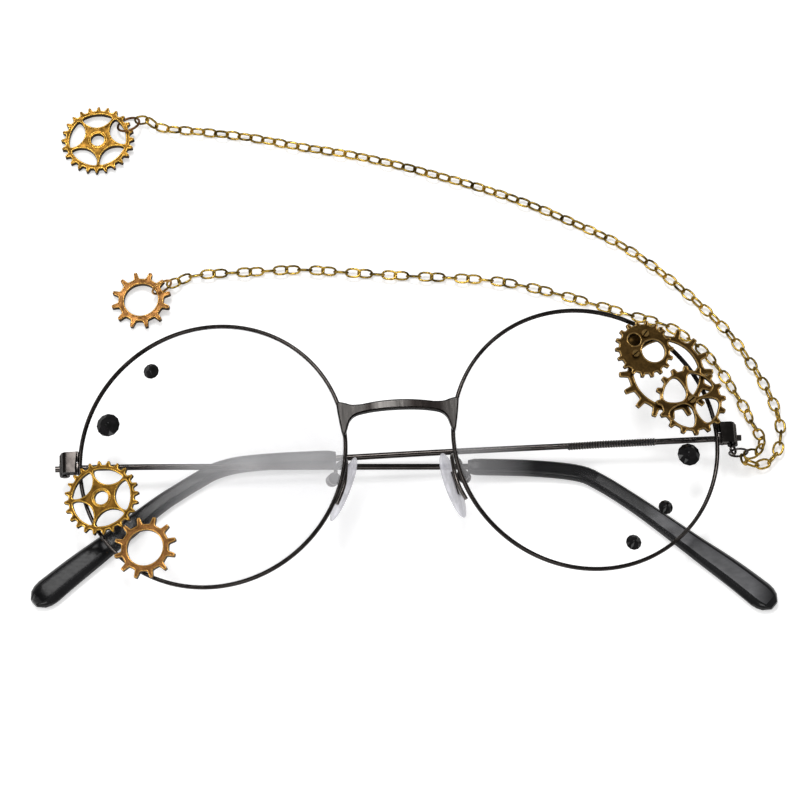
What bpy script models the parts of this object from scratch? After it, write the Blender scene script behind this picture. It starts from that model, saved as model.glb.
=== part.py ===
"""Folded steampunk eyeglasses with glued gears and two charm chains, for Blender 4.5.

The glasses lie on a table as they are put down: lenses up, temples folded underneath,
+X to the wearer's left of the front, +Y towards the brow, +Z up, lengths in metres.
"""
import math

import bpy
import bmesh
from mathutils import Matrix, Vector

MM = 0.001

# Where the front lies over the table
RIMS_APART = 20.35 * MM
LENS_HEIGHT = 12.5 * MM
FRONT_TILT = math.radians(5.8)
WRAP = math.radians(11.1)
SHIFT_X = 0.45 * MM
SHIFT_Y = 2.82 * MM

# Clearances
SOLDER_GAP = 0.15 * MM
GLUE_GAP = 0.2 * MM
PIN_GAP = 0.1 * MM
RUN_GAP = 0.1 * MM

# Rims and lenses
RIM_INNER = 26.55 * MM
RIM_WALL = 0.95 * MM
RIM_OUTER = RIM_INNER + RIM_WALL
RIM_DEPTH = 1.6 * MM
GROOVE_DEPTH = 0.35 * MM
GROOVE_WIDTH = 0.7 * MM
LENS_THICKNESS = 1.0 * MM
LENS_RISE = 0.6 * MM
RIM_SLIT = 0.3 * MM
LUG_WIDTH = 1.1 * MM
LUG_HEIGHT = 2.05 * MM
LUG_DEPTH = 0.9 * MM
RIM_SCREW_R = 0.22 * MM
RIM_SCREW_HEAD_R = 0.42 * MM
RIM_SCREW_HEAD = 0.3 * MM
LENS_X = RIMS_APART / 2 + RIM_OUTER * math.cos(WRAP)

# Bridge
BRIDGE_LEVEL = 5.35 * MM
BRIDGE_THICKNESS = 1.75 * MM
BRIDGE_BEVEL = 0.22 * MM
BRIDGE_HALF = 12.2 * MM
BRIDGE_TOP = 7.75 * MM
BRIDGE_BAR = 1.9 * MM
WING_TOP = 7.85 * MM
WING_TIP = 0.7 * MM

# Hinges and endpieces
HINGE_OUT = 2.605 * MM
HINGE_DROP = 0.306 * MM
HINGE_X = LENS_X + RIM_OUTER * math.cos(WRAP) + HINGE_OUT
HINGE_Y = 1.65 * MM
HINGE_Z = LENS_HEIGHT - RIM_OUTER * math.sin(WRAP) - HINGE_DROP
KNUCKLE_R = 1.05 * MM
MIDDLE_KNUCKLE = 1.5 * MM
OUTER_KNUCKLE = 1.35 * MM
STRAP_THICKNESS = 0.7 * MM
STRAP_TOP = 2.05 * MM
STRAP_OUT = 0.55 * MM
STRAP_START = 3.4 * MM
HINGE_PIN_R = 0.42 * MM
HINGE_HEAD_R = 0.85 * MM
HINGE_HEAD = 0.5 * MM
PIN_END = 0.25 * MM
OPEN_ANGLE = math.radians(92)

# Temples
WIRE_R = 0.62 * MM
WIRE_DROP = 1.4 * MM
HEEL = 2.0 * MM
SADDLE_LENGTH = 4.4 * MM
SADDLE_WIDTH = 2.0 * MM
SADDLE_FLOOR = 0.25 * MM
ARM_LENGTH = 103.0 * MM
FOOT_CUT = 0.1 * MM
TIP_WIDTH = 3.5 * MM
PADDLE_WIDTH = 4.9 * MM
TIP_THICKNESS = 2.3 * MM
PADDLE_THICKNESS = 2.6 * MM
TIP_BORE_GAP = 0.1 * MM
WIRE_IN_TIP = 12.0 * MM

# Nose pads
PAD_LENGTH = 14.0 * MM
PAD_WIDTH = 7.5 * MM
PAD_THICKNESS = 1.9 * MM
PAD_LEVEL = -3.0 * MM
PAD_OFFSET = 2.5 * MM
PAD_BELOW = 1.0 * MM
PAD_SPLAY = math.radians(15)
PAD_ARM_R = 0.45 * MM
BOX_R = 1.25 * MM
BOX_LENGTH = 2.6 * MM
BOX_SLOT = 1.0 * MM
TAB_THICKNESS = 0.8 * MM
TAB_R = 0.8 * MM
PAD_SCREW_R = 0.28 * MM
PAD_SCREW_HEAD_R = 0.55 * MM
PAD_SCREW_HEAD = 0.3 * MM
INSERT_LENGTH = 4.8 * MM
INSERT_WIDTH = 2.6 * MM
INSERT_THICKNESS = 0.5 * MM

# Gears: tip radius, teeth, body and hole, thickness
WINDOW_GEAR_R = 7.65 * MM
WINDOW_GEAR_TEETH = 24
RING_GEAR_R = 6.36 * MM
RING_GEAR_TEETH = 12
RING_CHARM_R = 6.17 * MM
RING_HOLE_SHARE = 0.572
LARGE_RING_R = 9.8 * MM
LARGE_RING_TEETH = 16
LARGE_RING_BODY = 7.96 * MM
LARGE_RING_HOLE = 6.85 * MM
DISC_GEAR_R = 6.05 * MM
DISC_GEAR_TEETH = 18
FOUR_GEAR_R = 7.3 * MM
FOUR_GEAR_TEETH = 16
GEAR_THICKNESS = 1.0 * MM
CHARM_THICKNESS = 1.2 * MM
THIN_GEAR = 0.7 * MM
BEAD = 0.3 * MM
ROUND_STEPS = 40
STONE_HEIGHT = 1.7 * MM

# Chains, rings and charms
CHAIN_WIRE_R = 0.25 * MM
LINK_SIDE = 0.95 * MM
LINK_PITCH = 2.5 * MM
BAR_PAST_JOINT = 0.15 * MM
CHAIN_LEVEL = 1.25 * MM
RING_WIRE_R = 0.25 * MM
UPPER_RING_R = 2.35 * MM
LOWER_RING_R = 2.15 * MM
ANCHOR_RING_R = 1.85 * MM
EYE_R = 0.85 * MM
EYE_WIRE_R = 0.28 * MM
EYE_SWING = math.radians(40)
EYE_FAR = MIDDLE_KNUCKLE / 2 + RUN_GAP + OUTER_KNUCKLE + PIN_END + EYE_R - 0.1 * MM
HOOK_GAP = 0.2 * MM


def new_collection(name):
    found = bpy.data.collections.get(name) or bpy.data.collections.new(name)
    if found.name not in bpy.context.scene.collection.children:
        bpy.context.scene.collection.children.link(found)
    return found


for old in list(bpy.data.objects):
    bpy.data.objects.remove(old)
PARTS = new_collection("Steampunk eyeglasses")
CUTTERS = new_collection("Cutters")


def metal(name, colour, roughness, metallic=1.0):
    made = bpy.data.materials.new(name)
    made.use_nodes = True
    shader = made.node_tree.nodes["Principled BSDF"]
    shader.inputs["Base Color"].default_value = (*colour, 1.0)
    shader.inputs["Roughness"].default_value = roughness
    shader.inputs["Metallic"].default_value = metallic
    return made


GUNMETAL = metal("gunmetal", (0.10, 0.085, 0.08), 0.32)
DARK_STEEL = metal("dark steel", (0.16, 0.15, 0.145), 0.3)
BRONZE = metal("aged bronze", (0.33, 0.22, 0.11), 0.4)
GOLD = metal("antique gold", (0.48, 0.36, 0.17), 0.38)
COPPER = metal("aged copper", (0.42, 0.2, 0.12), 0.4)
CLEAR = metal("clear lens", (0.85, 0.87, 0.9), 0.05, 0.0)
SILICONE = metal("clear silicone", (0.8, 0.82, 0.86), 0.2, 0.0)
TIP_PLASTIC = metal("black plastic", (0.03, 0.03, 0.032), 0.35, 0.0)
STONE = metal("black stone", (0.02, 0.02, 0.022), 0.1, 0.0)


def empty(name, parent=None, location=(0, 0, 0), rotation=(0, 0, 0)):
    made = bpy.data.objects.new(name, None)
    CUTTERS.objects.link(made)
    made.parent = parent
    made.location = location
    made.rotation_euler = rotation
    return made


def put(obj, parent, location=(0, 0, 0), rotation=(0, 0, 0)):
    obj.parent = parent
    obj.location = location
    obj.rotation_euler = rotation
    return obj


def put_axes(obj, parent, location, x_axis, y_axis, z_axis):
    turn = Matrix((x_axis, y_axis, z_axis)).transposed()
    return put(obj, parent, location, turn.to_euler())


def add_mesh(name, mesh, colour=None):
    made = bpy.data.objects.new(name, mesh)
    if colour:
        mesh.materials.append(colour)
        PARTS.objects.link(made)
    else:
        CUTTERS.objects.link(made)
        made.hide_render = True
        made.display_type = "WIRE"
    return made


def from_bmesh(name, bm, colour=None):
    bmesh.ops.recalc_face_normals(bm, faces=bm.faces)
    mesh = bpy.data.meshes.new(name)
    bm.to_mesh(mesh)
    bm.free()
    return add_mesh(name, mesh, colour)


def box(name, size, centre=(0, 0, 0), colour=None):
    bm = bmesh.new()
    bmesh.ops.create_cube(bm, size=1.0)
    bmesh.ops.scale(bm, verts=bm.verts, vec=size)
    bmesh.ops.translate(bm, verts=bm.verts, vec=centre)
    return from_bmesh(name, bm, colour)


def rod(name, radius, start, end, colour=None, sides=12):
    """A cylinder between two points."""
    start, end = Vector(start), Vector(end)
    bm = bmesh.new()
    bmesh.ops.create_cone(
        bm, cap_ends=True, segments=sides, radius1=radius, radius2=radius, depth=(end - start).length)
    turn = (end - start).to_track_quat("Z", "Y").to_matrix().to_4x4()
    bmesh.ops.transform(bm, verts=bm.verts, matrix=Matrix.Translation((start + end) / 2) @ turn)
    return from_bmesh(name, bm, colour)


def frozen(obj, name=None, colour=None):
    """The evaluated shape as a plain welded mesh; the modelled object goes."""
    bpy.context.view_layer.update()
    graph = bpy.context.evaluated_depsgraph_get()
    mesh = bpy.data.meshes.new_from_object(obj.evaluated_get(graph))
    bm = bmesh.new()
    bm.from_mesh(mesh)
    bmesh.ops.remove_doubles(bm, verts=bm.verts, dist=1e-6)
    bmesh.ops.recalc_face_normals(bm, faces=bm.faces)
    bm.to_mesh(mesh)
    bm.free()
    mesh.materials.clear()
    place, parent, label = obj.matrix_local.copy(), obj.parent, name or obj.name
    bpy.data.objects.remove(obj)
    made = add_mesh(label, mesh, colour)
    made.name = label
    made.parent = parent
    made.matrix_local = place
    return made


def combine(obj, other, operation, solver="EXACT"):
    made = obj.modifiers.new(operation.title(), "BOOLEAN")
    made.operation = operation
    made.solver = solver
    made.object = other
    if other.name not in CUTTERS.objects:
        CUTTERS.objects.link(other)
        PARTS.objects.unlink(other)
    other.hide_render = True
    other.display_type = "WIRE"
    return obj


def cut(obj, *others):
    for other in others:
        combine(obj, other, "DIFFERENCE")
    return obj


def join(obj, *others):
    for other in others:
        combine(obj, other, "UNION")
    return obj


def smooth(obj, degrees=35):
    obj.data.shade_smooth()
    obj.data.set_sharp_from_angle(angle=math.radians(degrees))
    return obj


def turned(name, profile, colour=None, steps=32, closed=False):
    """A profile of (radius, height) points turned round Z; it runs down its outer side."""
    mesh = bpy.data.meshes.new(name)
    count = len(profile)
    edges = [(i, i + 1) for i in range(count - 1)]
    if closed:
        edges.append((count - 1, 0))
    mesh.from_pydata([(r, 0, z) for r, z in profile], edges, [])
    made = add_mesh(name, mesh, colour)
    screw = made.modifiers.new("Screw", "SCREW")
    screw.steps = screw.render_steps = steps
    screw.use_merge_vertices = True
    screw.merge_threshold = 1e-6
    screw.use_smooth_shade = True
    return made


def ring(name, radius, wire, colour=None, steps=18, sides=5):
    """A wire ring round Z."""
    turns = [-2 * math.pi * k / sides for k in range(sides)]
    profile = [(radius + wire * math.cos(a), wire * math.sin(a)) for a in turns]
    return turned(name, profile, colour, steps, closed=True)


def flat(name, outlines, thickness, colour=None, bevel=0.0):
    """A plate with holes: the first outline is its edge, the others are its holes."""
    curve = bpy.data.curves.new(name, "CURVE")
    curve.dimensions = "2D"
    curve.fill_mode = "BOTH"
    curve.extrude = thickness / 2
    for outline in outlines:
        spline = curve.splines.new("POLY")
        spline.points.add(len(outline) - 1)
        spline.use_cyclic_u = True
        for point, (x, y) in zip(spline.points, outline):
            point.co = (x, y, 0, 1)
    made = bpy.data.objects.new(name, curve)
    CUTTERS.objects.link(made)
    made = frozen(made, name, colour)
    if bevel:
        edge = made.modifiers.new("Bevel", "BEVEL")
        edge.width = bevel
        edge.segments = 1
        edge.limit_method = "ANGLE"
        edge.angle_limit = math.radians(50)
    return made


def wire(name, points, radius, colour=None, resolution=2, radii=None):
    curve = bpy.data.curves.new(name, "CURVE")
    curve.dimensions = "3D"
    curve.bevel_depth = radius
    curve.bevel_resolution = resolution
    curve.use_fill_caps = True
    spline = curve.splines.new("POLY")
    spline.points.add(len(points) - 1)
    for i, point in enumerate(points):
        spline.points[i].co = (*point, 1)
        spline.points[i].radius = radii[i] if radii else 1.0
    made = bpy.data.objects.new(name, curve)
    CUTTERS.objects.link(made)
    return frozen(made, name, colour)


def through(points, spacing):
    """Points at an even spacing along a smooth curve through the route's own points."""
    pts = [Vector(p) for p in points]
    pts = [2 * pts[0] - pts[1]] + pts + [2 * pts[-1] - pts[-2]]
    dense = []
    for a, b, c, d in zip(pts, pts[1:], pts[2:], pts[3:]):
        for k in range(24):
            t = k / 24
            dense.append(0.5 * (2 * b + (c - a) * t + (2 * a - 5 * b + 4 * c - d) * t ** 2
                                + (3 * b - a - 3 * c + d) * t ** 3))
    dense.append(pts[-2])
    length = sum((q - p).length for p, q in zip(dense, dense[1:]))
    count = max(1, round(length / spacing))
    even, walked, step = [dense[0]], 0.0, length / count
    for p, q in zip(dense, dense[1:]):
        piece = (q - p).length
        while walked + piece >= step * len(even) and len(even) < count:
            even.append(p.lerp(q, (step * len(even) - walked) / piece))
        walked += piece
    even.append(dense[-1])
    return even, length


def circle(radius, count, centre=(0, 0), start=0.0):
    turns = [start + 2 * math.pi * k / count for k in range(count)]
    return [(centre[0] + radius * math.cos(a), centre[1] + radius * math.sin(a)) for a in turns]


def toothed(teeth, tip, root, base_share, tip_share, phase=0.0):
    """A gear's edge: four points a tooth, its foot and tip as shares of the pitch."""
    points = []
    for k in range(teeth):
        middle = phase + 2 * math.pi * k / teeth
        for side, radius in ((-base_share, root), (-tip_share, tip), (tip_share, tip), (base_share, root)):
            turn = middle + side * math.pi / teeth
            points.append((radius * math.cos(turn), radius * math.sin(turn)))
    return points


def window(middle, inner, outer, half_angle, shape):
    """A gear's window: half its outline as shares of its reach and of its half angle, mirrored."""
    mirrored = [(along, -across) for along, across in reversed(shape) if across]
    points = []
    for along, across in shape + mirrored:
        radius, turn = inner + (outer - inner) * along, middle + half_angle * across
        points.append((radius * math.cos(turn), radius * math.sin(turn)))
    return points


# Frames that the pieces hang on
glasses = empty("glasses_on_table", None, (SHIFT_X, SHIFT_Y, 0))
front = empty("front_frame", glasses, (0, 0, LENS_HEIGHT), (FRONT_TILT, 0, 0))
SIDES = {"left": -1, "right": 1}
lens_frame, hinge_frame, pad_frame = {}, {}, {}
for side, s in SIDES.items():
    lens_frame[side] = empty("lens_frame_" + side, front, (s * LENS_X, 0, 0), (0, s * WRAP, 0))
    hinge_frame[side] = empty("hinge_axis_" + side, glasses, (s * HINGE_X, HINGE_Y, HINGE_Z))


def lens_front(radius):
    return LENS_THICKNESS / 2 + LENS_RISE * (1 - (radius / RIM_INNER) ** 2)


def from_lens(s, u, v, w):
    """A point of a lens frame in the front frame."""
    return Vector((s * LENS_X + u * math.cos(WRAP) + s * w * math.sin(WRAP), v,
                   w * math.cos(WRAP) - s * u * math.sin(WRAP)))


def rim(side, s):
    half, chamfer, groove = RIM_DEPTH / 2, 0.2 * MM, GROOVE_WIDTH / 2
    profile = [
        (RIM_OUTER - chamfer, half),
        (RIM_OUTER, half - chamfer),
        (RIM_OUTER, chamfer - half),
        (RIM_OUTER - chamfer, -half),
        (RIM_INNER, -half),
        (RIM_INNER, -groove),
        (RIM_INNER + GROOVE_DEPTH, 0),
        (RIM_INNER, groove),
        (RIM_INNER, half),
    ]
    made = put(turned("rim_" + side, profile, GUNMETAL, ROUND_STEPS, closed=True), lens_frame[side])
    middle = HINGE_Y
    overlap = 0.25 * MM
    lug_u = RIM_OUTER + (LUG_WIDTH - overlap) / 2
    length = 2 * LUG_HEIGHT + RIM_SLIT
    lugs = box("lugs_" + side, (LUG_WIDTH + overlap, length, LUG_DEPTH), (s * lug_u, middle, 0))
    slit = box("slit_" + side, (6 * LUG_WIDTH, RIM_SLIT, 3 * RIM_DEPTH), (s * lug_u, middle, 0))
    screw_u = RIM_OUTER + LUG_WIDTH / 2
    hole = rod("rim_hole_" + side, RIM_SCREW_R + PIN_GAP / 2, (s * screw_u, middle - length, 0),
               (s * screw_u, middle + length, 0))
    for cutter in (lugs, slit, hole):
        put(cutter, lens_frame[side])
    join(made, lugs)
    cut(made, slit, hole)
    screw = turned("rim_screw_" + side, [
        (0, RIM_SCREW_HEAD), (RIM_SCREW_HEAD_R * 0.8, RIM_SCREW_HEAD),
        (RIM_SCREW_HEAD_R, RIM_SCREW_HEAD * 0.6), (RIM_SCREW_HEAD_R, 0), (RIM_SCREW_R, 0),
        (RIM_SCREW_R, -length * 0.9), (0, -length * 0.9)], DARK_STEEL, 12)
    put(screw, lens_frame[side], (s * screw_u, middle - length / 2 - PIN_GAP, 0), (math.pi / 2, 0, 0))
    return made


def lens(side):
    body = RIM_INNER - PIN_GAP
    groove = GROOVE_WIDTH / 2 - PIN_GAP * 0.7
    profile = [(r * body, lens_front(r * body)) for r in (0, 0.55, 1.0)]
    profile += [(body, groove), (body + GROOVE_DEPTH - PIN_GAP / 2, 0), (body, -groove)]
    profile += [(r * body, lens_front(r * body) - LENS_THICKNESS) for r in (1.0, 0.55, 0)]
    return put(turned("lens_" + side, profile, CLEAR, ROUND_STEPS), lens_frame[side])


for side, s in SIDES.items():
    rim(side, s)
    lens(side)


def bridge():
    """The outline of half the arch and one wing, mirrored, seated on both rims."""
    under = BRIDGE_TOP - BRIDGE_BAR
    half = [(0, BRIDGE_TOP)]
    for share in (0.3, 0.6, 0.8):
        half.append((share * 0.72 * BRIDGE_HALF, BRIDGE_TOP - 1.05 * MM * share ** 2))
    half += [
        (0.75 * BRIDGE_HALF, BRIDGE_TOP - 0.75 * MM),
        (0.86 * BRIDGE_HALF, WING_TOP - 0.35 * MM),
        (BRIDGE_HALF, WING_TOP),
        (0.965 * BRIDGE_HALF, 0.5 * (WING_TOP + WING_TIP)),
        (0.915 * BRIDGE_HALF, WING_TIP),
        (0.865 * BRIDGE_HALF, WING_TIP + 0.25 * MM),
        (0.835 * BRIDGE_HALF, WING_TIP + 1.3 * MM),
        (0.795 * BRIDGE_HALF, WING_TIP + 2.9 * MM),
        (0.735 * BRIDGE_HALF, under - 1.35 * MM),
        (0.66 * BRIDGE_HALF, under - 0.8 * MM),
        (0.45 * BRIDGE_HALF, under - 0.3 * MM),
        (0.22 * BRIDGE_HALF, under - 0.06 * MM),
    ]
    half.append((0, under))
    whole = half + [(-x, y) for x, y in reversed(half[1:-1])]
    made = flat("bridge", [whole], BRIDGE_THICKNESS, GUNMETAL)
    put(made, front, (0, 0, BRIDGE_LEVEL + BRIDGE_THICKNESS / 2))
    edge = made.modifiers.new("Bevel", "BEVEL")
    edge.width = BRIDGE_BEVEL
    edge.segments = 1
    edge.limit_method = "ANGLE"
    edge.angle_limit = math.radians(60)
    reach = RIM_DEPTH / 2 + SOLDER_GAP
    for side in SIDES:
        seat = turned("bridge_seat_" + side, [
            (RIM_OUTER + SOLDER_GAP, reach), (RIM_OUTER + SOLDER_GAP, -2 * reach),
            (RIM_INNER - 3 * MM, -2 * reach), (RIM_INNER - 3 * MM, reach)], None, ROUND_STEPS, closed=True)
        cut(made, put(seat, lens_frame[side]))
    return made


bridge()


def endpiece(side, s):
    """A strap soldered to the rim that bends down into the two outer knuckles of the hinge."""
    top, under = STRAP_TOP, STRAP_TOP - STRAP_THICKNESS
    inner, bend = STRAP_OUT - STRAP_THICKNESS, 0.95 * MM
    outline = [(-STRAP_START, under), (-STRAP_START, top)]
    for k in range(5):
        turn = math.radians(90 - 22.5 * k)
        outline.append((STRAP_OUT - bend + bend * math.cos(turn), top - bend + bend * math.sin(turn)))
    outline += [(STRAP_OUT, 0.3 * KNUCKLE_R), (inner, 0.3 * KNUCKLE_R), (inner, under - 0.2 * MM),
                (inner - 0.2 * MM, under)]
    reach = MIDDLE_KNUCKLE / 2 + RUN_GAP + OUTER_KNUCKLE
    made = flat("endpiece_" + side, [[(s * x, z) for x, z in outline]], 2 * reach, GUNMETAL)
    put(made, hinge_frame[side], (0, 0, 0), (math.pi / 2, 0, 0))
    knuckles = rod("knuckles_" + side, KNUCKLE_R, (0, -reach, 0), (0, reach, 0), None, 14)
    middle = MIDDLE_KNUCKLE / 2 + RUN_GAP
    room = rod("knuckle_room_" + side, KNUCKLE_R + 1.5 * RUN_GAP, (0, -middle, 0), (0, middle, 0), None, 14)
    bore = rod("pin_bore_" + side, HINGE_PIN_R + PIN_GAP, (0, -2 * reach, 0), (0, 2 * reach, 0))
    for tool in (knuckles, room, bore):
        put(tool, hinge_frame[side])
    join(made, knuckles)
    cut(made, room, bore)
    keep = RIM_OUTER + SOLDER_GAP
    seat = turned("endpiece_seat_" + side, [
        (keep, 4 * MM), (keep, -4 * MM), (keep - 6 * MM, -4 * MM), (keep - 6 * MM, 4 * MM)],
        None, ROUND_STEPS, closed=True)
    cut(made, put(seat, lens_frame[side]))
    return made


def hinge_screw(side, s):
    """Slotted head at the brow side; the right one ends in an eye for the chains' ring."""
    reach = MIDDLE_KNUCKLE / 2 + RUN_GAP + OUTER_KNUCKLE
    head = reach + PIN_GAP / 2
    end = -reach - PIN_END
    made = turned("hinge_screw_" + side, [
        (0, head + HINGE_HEAD), (HINGE_HEAD_R * 0.8, head + HINGE_HEAD),
        (HINGE_HEAD_R, head + HINGE_HEAD * 0.6), (HINGE_HEAD_R, head), (HINGE_PIN_R, head),
        (HINGE_PIN_R, end), (0, end)], DARK_STEEL, 12)
    put(made, hinge_frame[side], (0, 0, 0), (-math.pi / 2, 0, 0))
    slot = box("hinge_slot_" + side, (3 * HINGE_HEAD_R, 0.5 * HINGE_HEAD, 0.32 * HINGE_HEAD_R),
               (0, head + HINGE_HEAD, 0))
    cut(made, put(slot, hinge_frame[side]))
    if side == "right":
        eye = ring("screw_eye", EYE_R, EYE_WIRE_R, None, 12, 5)
        put(eye, hinge_frame[side], (0, -EYE_FAR, 0), (0, math.pi / 2 - EYE_SWING, 0))
        join(made, eye)
    return made


def temple_leaf(side, s):
    """The middle knuckle on a saddle that is soldered round the wire."""
    half = MIDDLE_KNUCKLE / 2
    made = rod("temple_leaf_" + side, KNUCKLE_R, (0, -half, 0), (0, half, 0), GUNMETAL, 14)
    put(made, hinge_frame[side])
    web_x = 0.65 * KNUCKLE_R
    web = box("leaf_web_" + side, (2 * web_x, 2 * half, WIRE_DROP + WIRE_R / 2),
              (0, 0, -(WIRE_DROP + WIRE_R / 2) / 2))
    top = KNUCKLE_R + 1.5 * RUN_GAP
    bottom = WIRE_DROP + WIRE_R + SOLDER_GAP / 2 + SADDLE_FLOOR
    saddle = box("leaf_saddle_" + side, (SADDLE_LENGTH, SADDLE_WIDTH, bottom - top),
                 (s * (HEEL * 0.6 - SADDLE_LENGTH / 2), 0, -(bottom + top) / 2))
    past = 2 * SADDLE_LENGTH
    channel = rod("wire_channel_" + side, WIRE_R + SOLDER_GAP / 2, (-past, 0, -WIRE_DROP),
                  (past, 0, -WIRE_DROP), None, 12)
    bore = rod("leaf_bore_" + side, HINGE_PIN_R + PIN_GAP, (0, -2 * half, 0), (0, 2 * half, 0))
    for tool in (web, saddle, channel, bore):
        put(tool, hinge_frame[side])
    join(made, web, saddle)
    cut(made, channel, bore)
    return made


# The temples' routes over the table, as they lie folded (X and Y in the glasses' frame)
WIRE_ROUTE = {
    "left": [(-49.9, 1.5), (-19.9, 0.6)],
    "right": [(40.5, 2.05), (11.0, 2.55)],
}
TIP_ROUTE = {
    "left": [(13.8, -0.4), (26.6, -1.15), (35.8, -2.5), (40.1, -4.7), (45.7, -8.9), (51.5, -13.8),
             (58.4, -19.9), (65.5, -26.1), (71.6, -32.0)],
    "right": [(-12.6, 2.75), (-24.0, 2.95), (-32.0, 2.7), (-37.0, 1.6), (-40.4, -0.2), (-44.4, -2.6),
              (-48.8, -5.5), (-59.2, -13.6), (-66.1, -18.9), (-72.6, -24.2)],
}


def arm_height(x, s):
    """The arm slopes from the hinge down to the table and runs flat from its bend."""
    level = TIP_THICKNESS / 2 - FOOT_CUT
    start = SADDLE_LENGTH * 0.8
    far = min(max(abs(x - s * HINGE_X), start), ARM_LENGTH)
    high = HINGE_Z - WIRE_DROP
    return high - (high - level) * (far - start) / (ARM_LENGTH - start)


def in_hinge(side, x, y):
    s = SIDES[side]
    return Vector((x - s * HINGE_X, y - HINGE_Y, arm_height(x, s) - HINGE_Z))


def temple(side, s):
    route = [Vector((x * MM, y * MM)) for x, y in TIP_ROUTE[side]]
    first = in_hinge(side, *route[0])
    second = in_hinge(side, *route[1])
    along = (second - first).normalized()
    straight = [Vector((s * HEEL, 0, -WIRE_DROP)), Vector((-s * 0.8 * SADDLE_LENGTH, 0, -WIRE_DROP))]
    middle = [in_hinge(side, x * MM, y * MM) for x, y in WIRE_ROUTE[side]]
    bent, _ = through([straight[1]] + middle + [first], 9 * MM)
    inside = first + along * WIRE_IN_TIP
    core = wire("temple_wire_" + side, [straight[0]] + bent + [inside], WIRE_R, DARK_STEEL, 2)
    put(core, hinge_frame[side])
    centres, _ = through([in_hinge(side, *p) for p in route], 3.4 * MM)
    made = loft_tip("temple_tip_" + side, centres)
    put(made, hinge_frame[side])
    bore = rod("tip_bore_" + side, WIRE_R + TIP_BORE_GAP, first - along * MM,
               inside + along * 2 * TIP_BORE_GAP, None, 12)
    floor = box("tip_floor_" + side, (0.9 * ARM_LENGTH, 0.6 * ARM_LENGTH, 2 * TIP_THICKNESS),
                (-s * 1.07 * ARM_LENGTH, -0.15 * ARM_LENGTH, -HINGE_Z - TIP_THICKNESS))
    put(floor, hinge_frame[side])
    put(bore, hinge_frame[side])
    cut(made, bore, floor)
    return made


def loft_tip(name, centres, sides=10):
    """The plastic sleeve: rounded flat sections that widen into the paddle end."""
    bm = bmesh.new()
    rings = []
    count = len(centres)
    for k, centre in enumerate(centres):
        before, after = centres[max(k - 1, 0)], centres[min(k + 1, count - 1)]
        along = (after - before).normalized()
        across = Vector((0, 0, 1)).cross(along).normalized()
        up = along.cross(across)
        share = k / (count - 1)
        swell = min(max((share - 0.45) / 0.4, 0), 1)
        swell = swell * swell * (3 - 2 * swell)
        width = TIP_WIDTH + (PADDLE_WIDTH - TIP_WIDTH) * swell
        height = TIP_THICKNESS + (PADDLE_THICKNESS - TIP_THICKNESS) * swell
        trims = {0: (0.86, 0.8), count - 1: (0.62, 0.6)}
        narrow, low = trims.get(k, (1.0, 1.0))
        rings.append([bm.verts.new(centre + across * x * width / 2 * narrow + up * y * height / 2 * low)
                      for x, y in rounded_section(sides)])
    for one, two in zip(rings, rings[1:]):
        for k in range(sides):
            bm.faces.new((one[k], one[(k + 1) % sides], two[(k + 1) % sides], two[k]))
    bm.faces.new(rings[0])
    bm.faces.new(list(reversed(rings[-1])))
    return smooth(from_bmesh(name, bm, TIP_PLASTIC), 50)


def rounded_section(sides):
    points = []
    for k in range(sides):
        turn = 2 * math.pi * (k + 0.5) / sides
        x, y = math.cos(turn), math.sin(turn)
        points.append((math.copysign(abs(x) ** 0.7, x), math.copysign(abs(y) ** 0.7, y)))
    return points


for side, s in SIDES.items():
    endpiece(side, s)
    hinge_screw(side, s)
    temple_leaf(side, s)
    temple(side, s)


# Nose pads: each rocks on a screw across its box; the top of the pad and its lean are the photo's
PAD_TOP = {"left": (-8.9 * MM, -0.75 * MM), "right": (8.75 * MM, -0.75 * MM)}
PAD_LEAN = {"left": math.radians(22), "right": math.radians(14)}
ARM_FOOT = math.radians(27)
ARM_ROUTE = [(20.0, 0.65, -0.7), (12.5, 0.9, -1.6)]


def pad_axes(side, s):
    """Down the pad, across it, and out of its face, all in the front frame."""
    lean = PAD_LEAN[side]
    down = Vector((s * math.sin(lean), -math.cos(lean), 0))
    face = Vector((-s * math.cos(lean), -math.sin(lean), 0))
    deep = Vector((0, 0, 1))
    splayed = face * math.cos(PAD_SPLAY) - deep * math.sin(PAD_SPLAY)
    across = (deep * math.cos(PAD_SPLAY) + face * math.sin(PAD_SPLAY)) * s
    return down, across, splayed


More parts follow.
